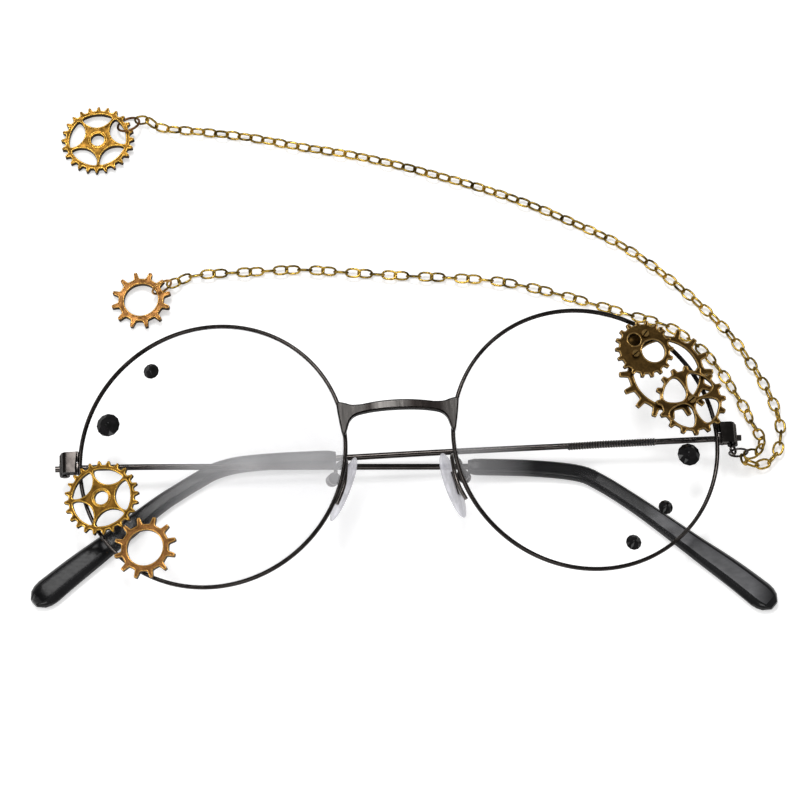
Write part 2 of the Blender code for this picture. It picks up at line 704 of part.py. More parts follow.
def nose_pad(side, s):
    down, across, face = pad_axes(side, s)
    top = Vector((*PAD_TOP[side], PAD_LEVEL))
    centre = top + down * PAD_LENGTH / 2
    pivot = centre - face * PAD_OFFSET - down * PAD_BELOW
    turn = Matrix((down, across, face)).transposed().to_euler()
    frame = empty("pad_axis_" + side, front, pivot, turn)
    pad_frame[side] = frame

    bm = bmesh.new()
    bmesh.ops.create_uvsphere(bm, u_segments=16, v_segments=8, radius=1.0)
    dome, back = 0.62 * PAD_THICKNESS, 0.38 * PAD_THICKNESS
    for vert in bm.verts:
        depth = dome if vert.co.z > 0 else back
        belly = 1 - 0.12 * vert.co.x
        vert.co = (vert.co.x * PAD_LENGTH / 2, vert.co.y * belly * PAD_WIDTH / 2, vert.co.z * depth)
    pad = smooth(from_bmesh("nose_pad_" + side, bm, SILICONE), 80)
    put(pad, frame, (PAD_BELOW, 0, PAD_OFFSET))
    seat = PAD_OFFSET - back
    plate_top = seat + 0.4 * MM
    pocket = box("pad_pocket_" + side,
                 (INSERT_LENGTH + 2 * PIN_GAP, INSERT_WIDTH + 2 * PIN_GAP, 2 * MM),
                 (PAD_BELOW, 0, plate_top + PIN_GAP - MM))
    cut(pad, put(pocket, frame))

    insert = box("pad_insert_" + side, (INSERT_LENGTH, INSERT_WIDTH, INSERT_THICKNESS),
                 (PAD_BELOW, 0, plate_top - INSERT_THICKNESS / 2), DARK_STEEL)
    put(insert, frame)
    web = box("tab_web_" + side, (1.4 * TAB_R, TAB_THICKNESS, plate_top - INSERT_THICKNESS / 2),
              (0, 0, (plate_top - INSERT_THICKNESS / 2) / 2))
    half_tab = TAB_THICKNESS / 2
    tab = rod("tab_" + side, TAB_R, (0, -half_tab, 0), (0, half_tab, 0), None, 14)
    eye = rod("tab_hole_" + side, PAD_SCREW_R + PIN_GAP, (0, -MM, 0), (0, MM, 0), None, 12)
    join(insert, put(web, frame), put(tab, frame))
    cut(insert, put(eye, frame))

    half_box = BOX_LENGTH / 2
    holder = rod("pad_box_" + side, BOX_R, (0, -half_box, 0), (0, half_box, 0), GUNMETAL, 14)
    box_turn = empty("pad_box_frame_" + side, front, pivot, turn)
    put(holder, box_turn)
    deep = TAB_R + SOLDER_GAP
    slot = box("box_slot_" + side, (4 * BOX_R, BOX_SLOT, 4 * MM), (0, 0, 2 * MM - deep))
    hole = rod("box_hole_" + side, PAD_SCREW_R + PIN_GAP, (0, -2 * MM, 0), (0, 2 * MM, 0), None, 12)
    cut(holder, put(slot, box_turn), put(hole, box_turn))

    head = half_box + PIN_GAP / 2
    screw = turned("pad_screw_" + side, [
        (0, head + PAD_SCREW_HEAD), (PAD_SCREW_HEAD_R * 0.75, head + PAD_SCREW_HEAD),
        (PAD_SCREW_HEAD_R, head + PAD_SCREW_HEAD / 2), (PAD_SCREW_HEAD_R, head), (PAD_SCREW_R, head),
        (PAD_SCREW_R, -half_box), (0, -half_box)], DARK_STEEL, 12)
    put(screw, box_turn, (0, 0, 0), (-s * math.pi / 2, 0, 0))

    pad_arm(side, s, pivot, down)


def pad_arm(side, s, pivot, down):
    """A wire from the nose side of the rim, up beside it and back round to the pad's box."""
    off = RIM_OUTER + SOLDER_GAP + PAD_ARM_R
    points = [from_lens(s, -s * off * math.cos(ARM_FOOT), -off * math.sin(ARM_FOOT), -0.5 * MM)]
    for degrees, more, w in ARM_ROUTE:
        reach, turn = off + more * MM - 0.4 * MM, math.radians(degrees)
        points.append(from_lens(s, -s * reach * math.cos(turn), -reach * math.sin(turn), w * MM))
    end = pivot - down * (BOX_R + SOLDER_GAP)
    points.append(Vector((points[-1].x - s * 0.15 * MM, -3.2 * MM, points[-1].z - 1.3 * MM)))
    points.append(Vector((end.x - s * 2.0 * MM, end.y + 3.3 * MM, end.z + 4.2 * MM)))
    points.append(Vector((end.x - s * 1.0 * MM, end.y + 3.4 * MM, end.z + 1.8 * MM)))
    points.append(end - down * 1.2 * MM + Vector((0, 0, 0.1 * MM)))
    points.append(end)
    smoothed, _ = through(points, 1.8 * MM)
    put(wire("pad_arm_" + side, smoothed, PAD_ARM_R, GUNMETAL), front)


for side, s in SIDES.items():
    nose_pad(side, s)


# Gears and stones on the lenses
def slotted_screw(name, radius, height, parent, place, turn):
    """A small cheese-head screw: head, slot and a short shank in its gear's hole."""
    made = turned(name, [
        (0, height), (radius * 0.7, height), (radius, height * 0.6), (radius, 0),
        (radius * 0.5, 0), (radius * 0.5, -0.4 * MM), (0, -0.4 * MM)], DARK_STEEL, 12)
    put(made, parent, place, (0, 0, turn))
    slot = box(name + "_slot", (3 * radius, 0.36 * radius, 0.6 * height))
    cut(made, put(slot, parent, (place[0], place[1], place[2] + height), (0, 0, turn)))
    return made


FIVE_WINDOW = [(0, 0), (0.124, 0.63), (0.42, 0.95), (0.69, 1.03), (0.95, 1.0), (1.0, 0.85), (1.0, 0.3)]
FOUR_WINDOW = [(0, 0), (0.075, 0.76), (0.2, 0.97), (0.42, 1.0), (0.68, 0.93), (0.85, 0.84), (0.946, 0.73),
               (0.989, 0.54), (1.0, 0)]


def window_gear(name, thickness, phase, first_window):
    """Twenty-four teeth, five windows with a round outer side and a raised hub round a small hole."""
    root = 0.89 * WINDOW_GEAR_R
    outlines = [toothed(WINDOW_GEAR_TEETH, WINDOW_GEAR_R, root, 0.62, 0.34, phase)]
    for k in range(5):
        outlines.append(window(first_window + 2 * math.pi * k / 5, 0.375 * WINDOW_GEAR_R,
                               0.77 * WINDOW_GEAR_R, math.radians(31), FIVE_WINDOW))
    hub = 0.17 * WINDOW_GEAR_R
    outlines.append(circle(hub, 12, (0, 0), phase))
    made = flat(name, outlines, thickness, GOLD)
    bead = ring(name + "_hub_bead", hub + 1.3 * BEAD, BEAD, None, 12, 4)
    bead.parent = made
    bead.location = (0, 0, thickness / 2)
    join(made, bead)
    return made


def ring_gear(name, radius, thickness, colour, phase):
    """Twelve broad teeth on a ring with a bead round its big hole."""
    hole = RING_HOLE_SHARE * radius
    outlines = [toothed(RING_GEAR_TEETH, radius, 0.77 * radius, 0.58, 0.27, phase),
                circle(hole, 20, (0, 0), phase)]
    made = flat(name, outlines, thickness, colour)
    bead = ring(name + "_bead", hole + 1.5 * BEAD, BEAD, None, 20, 4)
    bead.parent = made
    bead.location = (0, 0, thickness / 2)
    join(made, bead)
    return made


def bed_height(centre, radius):
    """Over the lens and over the front of the rim, whichever is higher under the piece."""
    near = max(math.hypot(*centre) - radius, 0)
    return max(lens_front(near), RIM_DEPTH / 2) + GLUE_GAP


def on_lens(obj, side, centre, bed, thickness):
    return put(obj, lens_frame[side], (centre[0], centre[1], bed + thickness / 2))


# Places on a lens are shares of its radius
WINDOW_GEAR_AT = (-0.8411 * RIM_INNER, -0.2588 * RIM_INNER)
RING_GEAR_TOWARDS = math.radians(-52.7)
LARGE_RING_AT = (0.6441 * RIM_INNER, 0.5092 * RIM_INNER)
DISC_FROM_RING = (-0.1676 * RIM_INNER, 0.1755 * RIM_INNER)
FOUR_FROM_RING = (0.1650 * RIM_INNER, -0.2275 * RIM_INNER)

five = window_gear("five_window_gear", GEAR_THICKNESS, math.radians(2), math.radians(0.5))
on_lens(five, "left", WINDOW_GEAR_AT, bed_height(WINDOW_GEAR_AT, WINDOW_GEAR_R), GEAR_THICKNESS)
apart = WINDOW_GEAR_R + RING_GEAR_R + RUN_GAP
RING_GEAR_AT = (WINDOW_GEAR_AT[0] + apart * math.cos(RING_GEAR_TOWARDS),
                WINDOW_GEAR_AT[1] + apart * math.sin(RING_GEAR_TOWARDS))
on_lens(ring_gear("ring_gear", RING_GEAR_R, GEAR_THICKNESS, COPPER, math.radians(10.4)), "left", RING_GEAR_AT,
        bed_height(RING_GEAR_AT, RING_GEAR_R), GEAR_THICKNESS)

large = flat("large_ring_gear", [
    toothed(LARGE_RING_TEETH, LARGE_RING_R, LARGE_RING_BODY, 0.42, 0.2, math.radians(3)),
    circle(LARGE_RING_HOLE, 24)], THIN_GEAR, COPPER)
ring_bed = bed_height(LARGE_RING_AT, LARGE_RING_R)
on_lens(large, "right", LARGE_RING_AT, ring_bed, THIN_GEAR)
upper_bed = ring_bed + THIN_GEAR + GLUE_GAP
upper_thickness = 0.8 * GEAR_THICKNESS

DISC_AT = (LARGE_RING_AT[0] + DISC_FROM_RING[0], LARGE_RING_AT[1] + DISC_FROM_RING[1])
DISC_SCREW_R = 0.8 * MM
disc_holes = [(0.3 * DISC_GEAR_R, -0.065 * DISC_GEAR_R, 0.395 * DISC_GEAR_R),
              (-0.33 * DISC_GEAR_R, 0.31 * DISC_GEAR_R, 0.215 * DISC_GEAR_R)]
disc_screws = [(-0.34 * DISC_GEAR_R, -0.195 * DISC_GEAR_R, 40), (0.035 * DISC_GEAR_R, 0.52 * DISC_GEAR_R, -30)]
outlines = [toothed(DISC_GEAR_TEETH, DISC_GEAR_R, 0.87 * DISC_GEAR_R, 0.62, 0.3, math.radians(2))]
outlines += [circle(r, 14, (x, y)) for x, y, r in disc_holes]
outlines += [circle(0.5 * DISC_SCREW_R + PIN_GAP, 10, (x, y)) for x, y, _ in disc_screws]
on_lens(flat("disc_gear", outlines, upper_thickness, BRONZE), "right", DISC_AT, upper_bed, upper_thickness)
for label, (x, y, turn) in zip("ab", disc_screws):
    slotted_screw("disc_gear_screw_" + label, DISC_SCREW_R, 0.45 * MM, lens_frame["right"],
                  (DISC_AT[0] + x, DISC_AT[1] + y, upper_bed + upper_thickness + PIN_GAP), math.radians(turn))

FOUR_AT = (LARGE_RING_AT[0] + FOUR_FROM_RING[0], LARGE_RING_AT[1] + FOUR_FROM_RING[1])
FOUR_SCREW_R = 0.85 * MM
outlines = [toothed(FOUR_GEAR_TEETH, FOUR_GEAR_R, 0.87 * FOUR_GEAR_R, 0.6, 0.32, math.radians(5))]
for k in range(4):
    outlines.append(window(math.radians(61.5 + 90 * k), 0.171 * FOUR_GEAR_R, 0.8 * FOUR_GEAR_R,
                           math.radians(37), FOUR_WINDOW))
outlines.append(circle(0.5 * FOUR_SCREW_R + PIN_GAP, 10))
on_lens(flat("four_window_gear", outlines, upper_thickness, BRONZE), "right", FOUR_AT, upper_bed,
        upper_thickness)
slotted_screw("four_window_gear_screw", FOUR_SCREW_R, 0.5 * MM, lens_frame["right"],
              (*FOUR_AT, upper_bed + upper_thickness + PIN_GAP), math.radians(35))

STONES = {
    "stone_left_upper": ("left", -0.4331, 0.7006, 1.6),
    "stone_left_outer": ("left", -0.7778, 0.3107, 2.4),
    "stone_right_outer": ("right", 0.7721, -0.1337, 2.35),
    "stone_right_middle": ("right", 0.5631, -0.5480, 1.5),
    "stone_right_lower": ("right", 0.2976, -0.8230, 1.6),
}


def stone(name, side, x, y, radius):
    height = STONE_HEIGHT * (0.55 + 0.45 * radius / (2.4 * MM))
    made = turned(name, [
        (0, height), (0.55 * radius, height), (0.86 * radius, 0.62 * height), (radius, 0.3 * height),
        (0.9 * radius, 0), (0, 0)], STONE, 8)
    made.modifiers["Screw"].use_smooth_shade = False
    near = max(math.hypot(x, y) - radius, 0)
    return put(made, lens_frame[side], (x, y, lens_front(near) + GLUE_GAP))


for name, (side, x, y, radius) in STONES.items():
    stone(name, side, x * RIM_INNER, y * RIM_INNER, radius * MM)


# The loose ends: two gear charms on jump rings, and the chains back to the hinge
UPPER_CHARM_AT = Vector((-59.1, 78.1, 0)) * MM
LOWER_CHARM_AT = Vector((-50.9, 40.4, 0)) * MM
UPPER_CHARM_TURN = math.radians(26.9)
LOWER_CHARM_TURN = math.radians(27.8)
UPPER_RING_TILT = math.radians(32)
CHAIN_TURN = math.radians(35)
CHARM_RING_FROM = {"upper": 7.29 * MM, "lower": 4.9 * MM}
CHAIN_ROUTE = {
    "upper": [(-46.1, 80.4), (-37.7, 79.0), (-27.3, 77.1), (-17.0, 74.4), (-6.6, 72.0), (3.6, 68.9),
              (9.8, 66.7), (20.0, 62.9), (30.1, 58.4), (40.1, 53.0), (48.1, 48.2), (55.8, 41.6),
              (63.4, 33.6), (69.0, 26.5), (73.4, 18.4), (76.2, 11.6), (77.4, 6.0), (76.9, 1.7),
              (75.3, -1.4), (72.5, -2.8)],
    "lower": [(-41.9, 44.9), (-38.7, 45.7), (-28.4, 45.8), (-18.1, 45.8), (-7.9, 44.6), (2.4, 43.4),
              (12.6, 42.4), (22.8, 41.0), (32.9, 38.1), (42.9, 34.4), (50.9, 31.3), (55.9, 29.5),
              (60.7, 25.8), (64.8, 21.1), (68.0, 15.3), (70.4, 10.2), (71.6, 6.7, 1.6), (72.8, 3.5, 2.5),
              (73.1, 0.7, 3.7), (72.3, -1.1, 4.7)],
}
eye_at = Vector((HINGE_X, HINGE_Y - EYE_FAR, HINGE_Z))
swing = Vector((math.sin(EYE_SWING), 0, -math.cos(EYE_SWING)))
anchor_at = eye_at + swing * ANCHOR_RING_R
HOOKS = {"upper": math.radians(-62), "lower": math.radians(-8)}
anchor = ring("anchor_ring", ANCHOR_RING_R, RING_WIRE_R, GUNMETAL)
put(anchor, glasses, anchor_at, (math.pi / 2, 0, 0))


def hook_reach(ring_radius):
    return ring_radius - RING_WIRE_R - HOOK_GAP - CHAIN_WIRE_R


def roll_of(bar, along):
    """How far a link is rolled when its end bar lies along the given direction."""
    side_way = Vector((0, 0, 1)).cross(along).normalized()
    return math.atan2(bar.dot(along.cross(side_way)), bar.dot(side_way))


def add_link(bm, start, end, roll, sides=4):
    """One oval link; its two end bars hook over the points that it shares with its neighbours."""
    along = (end - start).normalized()
    side_way = Vector((0, 0, 1)).cross(along).normalized()
    width = side_way * math.cos(roll) + along.cross(side_way) * math.sin(roll)
    normal = along.cross(width)
    centre = (start + end) / 2
    half = (end - start).length / 2 + BAR_PAST_JOINT
    oval = [(1.0, 0.5), (0.0, 1.0), (-1.0, 0.5), (-1.0, -0.5), (0.0, -1.0), (1.0, -0.5)]
    path = [centre + along * x * half + width * y * LINK_SIDE for x, y in oval]
    rings = []
    for k, point in enumerate(path):
        after = (path[(k + 1) % len(path)] - point).normalized()
        around = (after + (point - path[k - 1]).normalized()).normalized()
        outward = around.cross(normal)
        mitre = 1 / around.dot(after)
        turns = [2 * math.pi * j / sides for j in range(sides)]
        rings.append([bm.verts.new(point + (outward * mitre * math.cos(a) + normal * math.sin(a)) * CHAIN_WIRE_R)
                      for a in turns])
    for one, two in zip(rings, rings[1:] + rings[:1]):
        for j in range(sides):
            bm.faces.new((one[j], one[(j + 1) % sides], two[(j + 1) % sides], two[j]))


def chain(name, route, first_bar, last_bar, step):
    """Oval links that share points along the route; they meet where one hooks the next."""
    shared, _ = through(route, LINK_PITCH)
    count = len(shared) - 1
    start_roll = roll_of(first_bar, (shared[1] - shared[0]).normalized())
    end_roll = roll_of(last_bar, (shared[-1] - shared[-2]).normalized())
    total = (count - 1) * step
    twist = (end_roll - start_roll - total + math.pi / 2) % math.pi - math.pi / 2
    odd, even = bmesh.new(), bmesh.new()
    for k in range(count):
        roll = start_roll + k * (step + twist / (count - 1))
        add_link(even if k % 2 == 0 else odd, shared[k], shared[k + 1], roll)
    made = put(from_bmesh(name, even, BRONZE), glasses)
    others = put(from_bmesh(name + "_other_links", odd), glasses)
    return join(made, others)


def level(points):
    return [Vector((p[0] * MM, p[1] * MM, p[2] * MM if len(p) > 2 else CHAIN_LEVEL)) for p in points]


def charm_frame(name, at, turn, near_height, ring_from, far_radius, thickness):
    """A frame on the charm's middle plane, raised where its jump ring passes under it."""
    rise = near_height - thickness / 2
    tilt = math.atan2(rise, ring_from + far_radius)
    along = Vector((math.cos(turn), math.sin(turn), 0))
    centre = Vector((at.x, at.y, thickness / 2 + math.tan(tilt) * far_radius))
    frame = empty(name, glasses, centre)
    frame.rotation_euler = (Matrix.Rotation(turn, 3, "Z") @ Matrix.Rotation(-tilt, 3, "Y")).to_euler()
    return frame, centre + along * ring_from + Vector((0, 0, math.tan(tilt) * ring_from)), along


# Upper chain: the ring lies nearly flat through a window of the charm
ring_height = UPPER_RING_R * math.sin(UPPER_RING_TILT) + RING_WIRE_R
frame, ring_at, along = charm_frame("upper_charm_frame", UPPER_CHARM_AT, UPPER_CHARM_TURN, ring_height,
                                    CHARM_RING_FROM["upper"], WINDOW_GEAR_R, CHARM_THICKNESS)
charm = window_gear("five_window_charm", CHARM_THICKNESS, 0.0, math.radians(-8.9))
put(charm, frame)
across = Vector((0, 0, 1)).cross(along)
normal = Vector((0, 0, 1)) * math.cos(UPPER_RING_TILT) + across * math.sin(UPPER_RING_TILT)
jump = ring("jump_ring_upper", UPPER_RING_R, RING_WIRE_R, GOLD)
put_axes(jump, glasses, ring_at, along, normal.cross(along), normal)
bar_at = ring_at + along * hook_reach(UPPER_RING_R)
UPPER_SWING_AXIS, UPPER_SWING_AT = normal, bar_at
hook = Vector((math.cos(HOOKS["upper"]), 0, math.sin(HOOKS["upper"])))
out_way = along * math.cos(CHAIN_TURN) - normal.cross(along) * math.sin(CHAIN_TURN)
start = bar_at + out_way * BAR_PAST_JOINT
second = start + out_way * LINK_PITCH
last = anchor_at + hook * (hook_reach(ANCHOR_RING_R) + BAR_PAST_JOINT)
out = last + hook * LINK_PITCH
route = [start, second] + level(CHAIN_ROUTE["upper"]) + [out, last]
chain("chain_upper", route, normal, Vector((0, 1, 0)), math.pi / 2)

# Lower chain: the ring stands upright through the charm's big hole
ring_centre_height = LOWER_RING_R + RING_WIRE_R
frame, rim_at, along = charm_frame("lower_charm_frame", LOWER_CHARM_AT, LOWER_CHARM_TURN,
                                   ring_centre_height - 0.6 * MM, CHARM_RING_FROM["lower"], RING_CHARM_R,
                                   CHARM_THICKNESS)
charm = ring_gear("ring_gear_charm", RING_CHARM_R, CHARM_THICKNESS, GOLD, math.radians(11.5))
put(charm, frame)
ring_at = Vector((rim_at.x, rim_at.y, ring_centre_height))
across = Vector((0, 0, 1)).cross(along)
jump = ring("jump_ring_lower", LOWER_RING_R, RING_WIRE_R, GUNMETAL)
put_axes(jump, glasses, ring_at, along, Vector((0, 0, 1)), -across)
low = math.radians(-25)
bar_way = along * math.cos(low) + Vector((0, 0, math.sin(low)))
bar_at = ring_at + bar_way * hook_reach(LOWER_RING_R)
LOWER_SWING_AXIS, LOWER_SWING_AT = across, bar_at
hook = Vector((math.cos(HOOKS["lower"]), 0, math.sin(HOOKS["lower"])))
start = bar_at + bar_way * BAR_PAST_JOINT
last = anchor_at + hook * (hook_reach(ANCHOR_RING_R) + BAR_PAST_JOINT)
chain("chain_lower", [start] + level(CHAIN_ROUTE["lower"]) + [last], across, Vector((0, 1, 0)),
      math.radians(60))
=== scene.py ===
"""Folded steampunk eyeglasses dressed for a picture: cast gears, chains, clear lenses and worn metal."""
from math import asin, atan, atan2, copysign, cos, floor, hypot, pi, radians, sin, tan

import bmesh
import bpy
from mathutils import Matrix, Vector


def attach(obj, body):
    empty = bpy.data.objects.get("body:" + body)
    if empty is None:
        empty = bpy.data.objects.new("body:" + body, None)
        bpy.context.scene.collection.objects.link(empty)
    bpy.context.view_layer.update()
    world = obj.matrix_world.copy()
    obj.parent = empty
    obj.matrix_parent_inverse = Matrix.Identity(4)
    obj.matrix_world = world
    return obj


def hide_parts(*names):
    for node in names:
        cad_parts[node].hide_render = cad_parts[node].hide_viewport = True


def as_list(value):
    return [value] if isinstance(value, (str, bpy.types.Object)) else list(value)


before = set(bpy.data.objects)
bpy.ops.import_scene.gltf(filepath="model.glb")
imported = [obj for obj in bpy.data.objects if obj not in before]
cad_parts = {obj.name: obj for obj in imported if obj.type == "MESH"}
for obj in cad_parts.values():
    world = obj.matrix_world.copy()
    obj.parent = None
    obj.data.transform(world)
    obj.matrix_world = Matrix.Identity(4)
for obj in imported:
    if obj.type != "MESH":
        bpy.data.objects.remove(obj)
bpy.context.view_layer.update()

bl_info = {
    "name": "Steampunk eyeglasses",
    "version": (1, 0, 0),
    "blender": (4, 5, 0),
    "location": "3D View > Sidebar > Eyeglasses",
    "description": "Folded round eyeglasses with glued gears, stones and two charm chains",
    "category": "Object",
}

MM = 0.001
UP = Vector((0, 0, 1))


def mm(*values):
    """Several sizes in metres, from millimetres."""
    return tuple(value * MM for value in values)


def shift(x, y, z):
    return Matrix.Translation((x, y, z))


# The front over the table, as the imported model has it
RIM_INNER, RIM_WALL, RIM_DEPTH = mm(26.55, 0.95, 1.6)
RIM_OUTER = RIM_INNER + RIM_WALL
LENS_X, FRONT_HEIGHT, GLUE = mm(37.16, 12.5, 0.2)
WRAP, TILT = radians(11.1), radians(5.8)
GLASSES = shift(*mm(0.45, 2.82, 0))
FRONT = GLASSES @ shift(0, 0, FRONT_HEIGHT) @ Matrix.Rotation(TILT, 4, "X")
SIDES = {"left": -1, "right": 1}
LENS = {side: FRONT @ shift(s * LENS_X, 0, 0) @ Matrix.Rotation(s * WRAP, 4, "Y")
        for side, s in SIDES.items()}
HINGE_X, HINGE_Y, HINGE_Z = mm(66.75, 1.65, 6.9)
HINGE = {side: GLASSES @ shift(s * HINGE_X, HINGE_Y, HINGE_Z) for side, s in SIDES.items()}


# Settings that a user would change
def metres(name, description, default):
    return bpy.props.FloatProperty(name=name, description=description, default=default, unit="LENGTH")


def tint(name, description, default):
    return bpy.props.FloatVectorProperty(
        name=name, description=description, default=default, size=3, min=0, max=1, subtype="COLOR")


class EyeglassSizes(bpy.types.PropertyGroup):
    """Sizes of the visible detail, in metres."""
    rim_bead: metres("Gear edge", "Radius of the raised edge round each cast gear's outlines", 0.00016)
    recess: metres("Gear recess", "How far a gear's face lies under its raised edges", 0.00016)
    link_wire: metres("Link wire", "Radius of the chain links' wire", 0.00025)
    link_half: metres("Link half length", "Half the length of a link's centre line", 0.00144)
    link_side: metres("Link half width", "Half the width of a link's centre line", 0.00095)
    soft_edge: metres("Soft edge", "Width of the rounding on machined edges", 0.0001)
    rib_pitch: metres("Rib pitch", "Distance between the ribs on the right temple wire", 0.00053)


class EyeglassColours(bpy.types.PropertyGroup):
    """Colours of the finishes."""
    gunmetal: tint("Gunmetal", "Plated frame metal", (0.038, 0.033, 0.031))
    worn_gunmetal: tint("Worn gunmetal", "Frame metal where the plating is rubbed", (0.15, 0.135, 0.125))
    olive_gold: tint("Olive gold", "Recessed faces of the window gears", (0.20, 0.10, 0.017))
    bright_gold: tint("Bright gold", "Worn edges of the window gears", (0.88, 0.52, 0.10))
    copper: tint("Copper", "Recessed faces of the ring gears", (0.25, 0.115, 0.036))
    bright_copper: tint("Bright copper", "Worn edges of the ring gears", (0.80, 0.43, 0.12))
    bronze: tint("Bronze", "Recessed faces of the right lens's gears", (0.145, 0.082, 0.024))
    bright_bronze: tint("Bright bronze", "Worn edges of the right lens's gears", (0.68, 0.43, 0.15))
    chain: tint("Chain", "The links' aged brass", (0.44, 0.285, 0.052))
    plastic: tint("Tip plastic", "The temple tips", (0.006, 0.006, 0.0065))
    # Strength of the white reflection painted on the lenses
    painted_reflection: bpy.props.FloatProperty(
        name="Painted lens reflection", description="How strongly the lenses veil what lies under their nose side",
        default=0.21, min=0, max=1, subtype="FACTOR")


def sizes():
    return bpy.context.scene.eyeglass_sizes


def colours():
    return bpy.context.scene.eyeglass_colours


# Materials
def connect(socket, value):
    """A socket linked to another node's output, or set to a value."""
    if isinstance(value, bpy.types.NodeSocket):
        socket.id_data.links.new(value, socket)
    elif socket.type == "RGBA":
        socket.default_value = (*value, 1)
    else:
        socket.default_value = value


def feed(node, values):
    for key, value in values.items():
        connect(node.inputs[key], value)


def add(tree, kind, values, output=0):
    """One output of a new shader node, whose sockets are linked or set."""
    made = tree.nodes.new("ShaderNode" + kind)
    feed(made, values)
    return made.outputs[output]


def noise(tree, scale, detail=4.0, stretch=None):
    """A noise in object space, stretched where the finish has a direction."""
    place = add(tree, "TexCoord", {}, "Object")
    if stretch:
        place = add(tree, "Mapping", {"Scale": stretch, "Vector": place})
    return add(tree, "TexNoise", {"Scale": scale, "Detail": detail, "Roughness": 0.55, "Vector": place})


def ramp(tree, source, *stops):
    """A colour that changes along the source, through stops of position and colour."""
    made = add(tree, "ValToRGB", {"Fac": source})
    elements = made.node.color_ramp.elements
    elements[0].position, elements[1].position = stops[0][0], stops[-1][0]
    for position, _ in stops[1:-1]:
        elements.new(position)
    for element, (_, colour) in zip(elements, stops):
        element.color = (*colour, 1)
    return made


def spread(tree, source, low, high, start=0.3, end=0.7):
    """A value carried from one range to another."""
    return add(tree, "MapRange", {"Value": source, "From Min": start, "From Max": end, "To Min": low,
                                  "To Max": high})


def along_x(tree, start, end):
    """From 0 to 1 between two places on the object's X axis."""
    place = add(tree, "TexCoord", {}, "Object")
    return spread(tree, add(tree, "SeparateXYZ", {"Vector": place}), 0.0, 1.0, start, end)


def mixed(tree, factor, first, second):
    made = tree.nodes.new("ShaderNodeMix")
    made.data_type = "RGBA"
    feed(made, {"Factor": factor, 6: first, 7: second})
    return made.outputs[2]


def combined(tree, operation, first, second):
    made = tree.nodes.new("ShaderNodeMath")
    made.operation = operation
    feed(made, {0: first, 1: second})
    return made.outputs[0]


def bump(tree, source, strength, depth):
    return add(tree, "Bump", {"Strength": strength, "Distance": depth, "Height": source})


def darker(colour, share):
    return tuple(c * share for c in colour)


def grey(value):
    return (value, value, value)


def cast_metal(tree, dark, bright, roughness=(0.32, 0.55), patina=0.35, grain=1500.0):
    """A cast and tumbled metal: patina in soft patches, fine grain, and small pits."""
    patches = noise(tree, grain * 0.4, 5.0)
    fine = noise(tree, grain * 1.8, 3.0)
    base = ramp(tree, patches, (0.36, dark), (0.62, bright))
    spots = spread(tree, fine, 0.0, patina, 0.45, 0.7)
    return {"Metallic": 1.0, "Base Color": mixed(tree, spots, base, darker(dark, 0.45)),
            "Roughness": spread(tree, patches, roughness[1], roughness[0]),
            "Normal": bump(tree, fine, 0.5, 0.00006)}


def plated_metal(tree, plain, worn, roughness, stretch=None):
    """Plated wire or sheet: worn through on its edges, with fine drawing lines."""
    lines = noise(tree, 900.0, 4.0, stretch)
    patches = noise(tree, 320.0, 5.0)
    wear = spread(tree, add(tree, "NewGeometry", {}, "Pointiness"), 0.0, 0.75, 0.52, 0.6)
    base = ramp(tree, patches, (0.35, darker(plain, 0.6)), (0.7, darker(plain, 1.35)))
    return {"Metallic": 1.0, "Base Color": mixed(tree, wear, base, worn),
            "Roughness": spread(tree, lines, *roughness), "Normal": bump(tree, lines, 0.25, 0.00003)}


def satin_metal(tree, plain, rubbed):
    """The bridge's flat face: fine lines across it, with painted highlights in bands along it, brightest
    left of its middle.
    """
    lines = noise(tree, 700.0, 5.0, (3.0, 0.25, 1.0))
    # Painted highlight: lighter and darker bands from the bridge's left end to its right
    tones = ramp(tree, along_x(tree, -0.0118, 0.0127), (0.1, darker(rubbed, 0.3)),
                 (0.2, darker(rubbed, 0.35)), (0.27, plain), (0.36, rubbed), (0.5, darker(rubbed, 0.6)),
                 (0.62, plain), (0.76, darker(plain, 0.5)), (0.83, darker(plain, 0.7)),
                 (0.95, darker(rubbed, 0.35)))
    shades = spread(tree, lines, 0.0, 0.45)
    return {"Metallic": 1.0, "Base Color": mixed(tree, shades, tones, darker(plain, 0.5)),
            "Roughness": spread(tree, lines, 0.24, 0.4), "Normal": bump(tree, lines, 0.25, 0.00003)}


# The painted reflection's strength at places across the glasses, in millimetres from their middle
PAINTED_REFLECTION_REACH = 70
PAINTED_REFLECTION = ((-50, 0.03), (-44, 0.36), (-32, 0.95), (-12, 1.0), (12, 0.66), (25, 0.12), (27, 0.015))


def lens_clear(tree):
    """A clear lens with a painted white reflection that is strongest on both sides of the nose."""
    painted_reflection_patches = noise(tree, 90.0, 3.0)
    smear = noise(tree, 420.0, 4.0)
    clear = grey(0.004)
    stops = [((x + PAINTED_REFLECTION_REACH) / (2 * PAINTED_REFLECTION_REACH), grey(share * colours().painted_reflection)) for x, share in PAINTED_REFLECTION]
    place = along_x(tree, -PAINTED_REFLECTION_REACH * MM, PAINTED_REFLECTION_REACH * MM)
    # Painted reflection: a white layer across the glasses' width, with a sharp edge on the right lens
    painted_reflection = ramp(tree, place, (0.08, clear), *stops, (0.98, clear))
    return {"IOR": 1.49, "Roughness": spread(tree, smear, 0.02, 0.06),
            "Base Color": ramp(tree, painted_reflection_patches, (0.3, (0.86, 0.85, 0.87)), (0.7, (0.92, 0.92, 0.94))),
            "Alpha": combined(tree, "MULTIPLY", painted_reflection, spread(tree, painted_reflection_patches, 0.85, 1.15)),
            "Normal": bump(tree, smear, 0.05, 0.00002)}


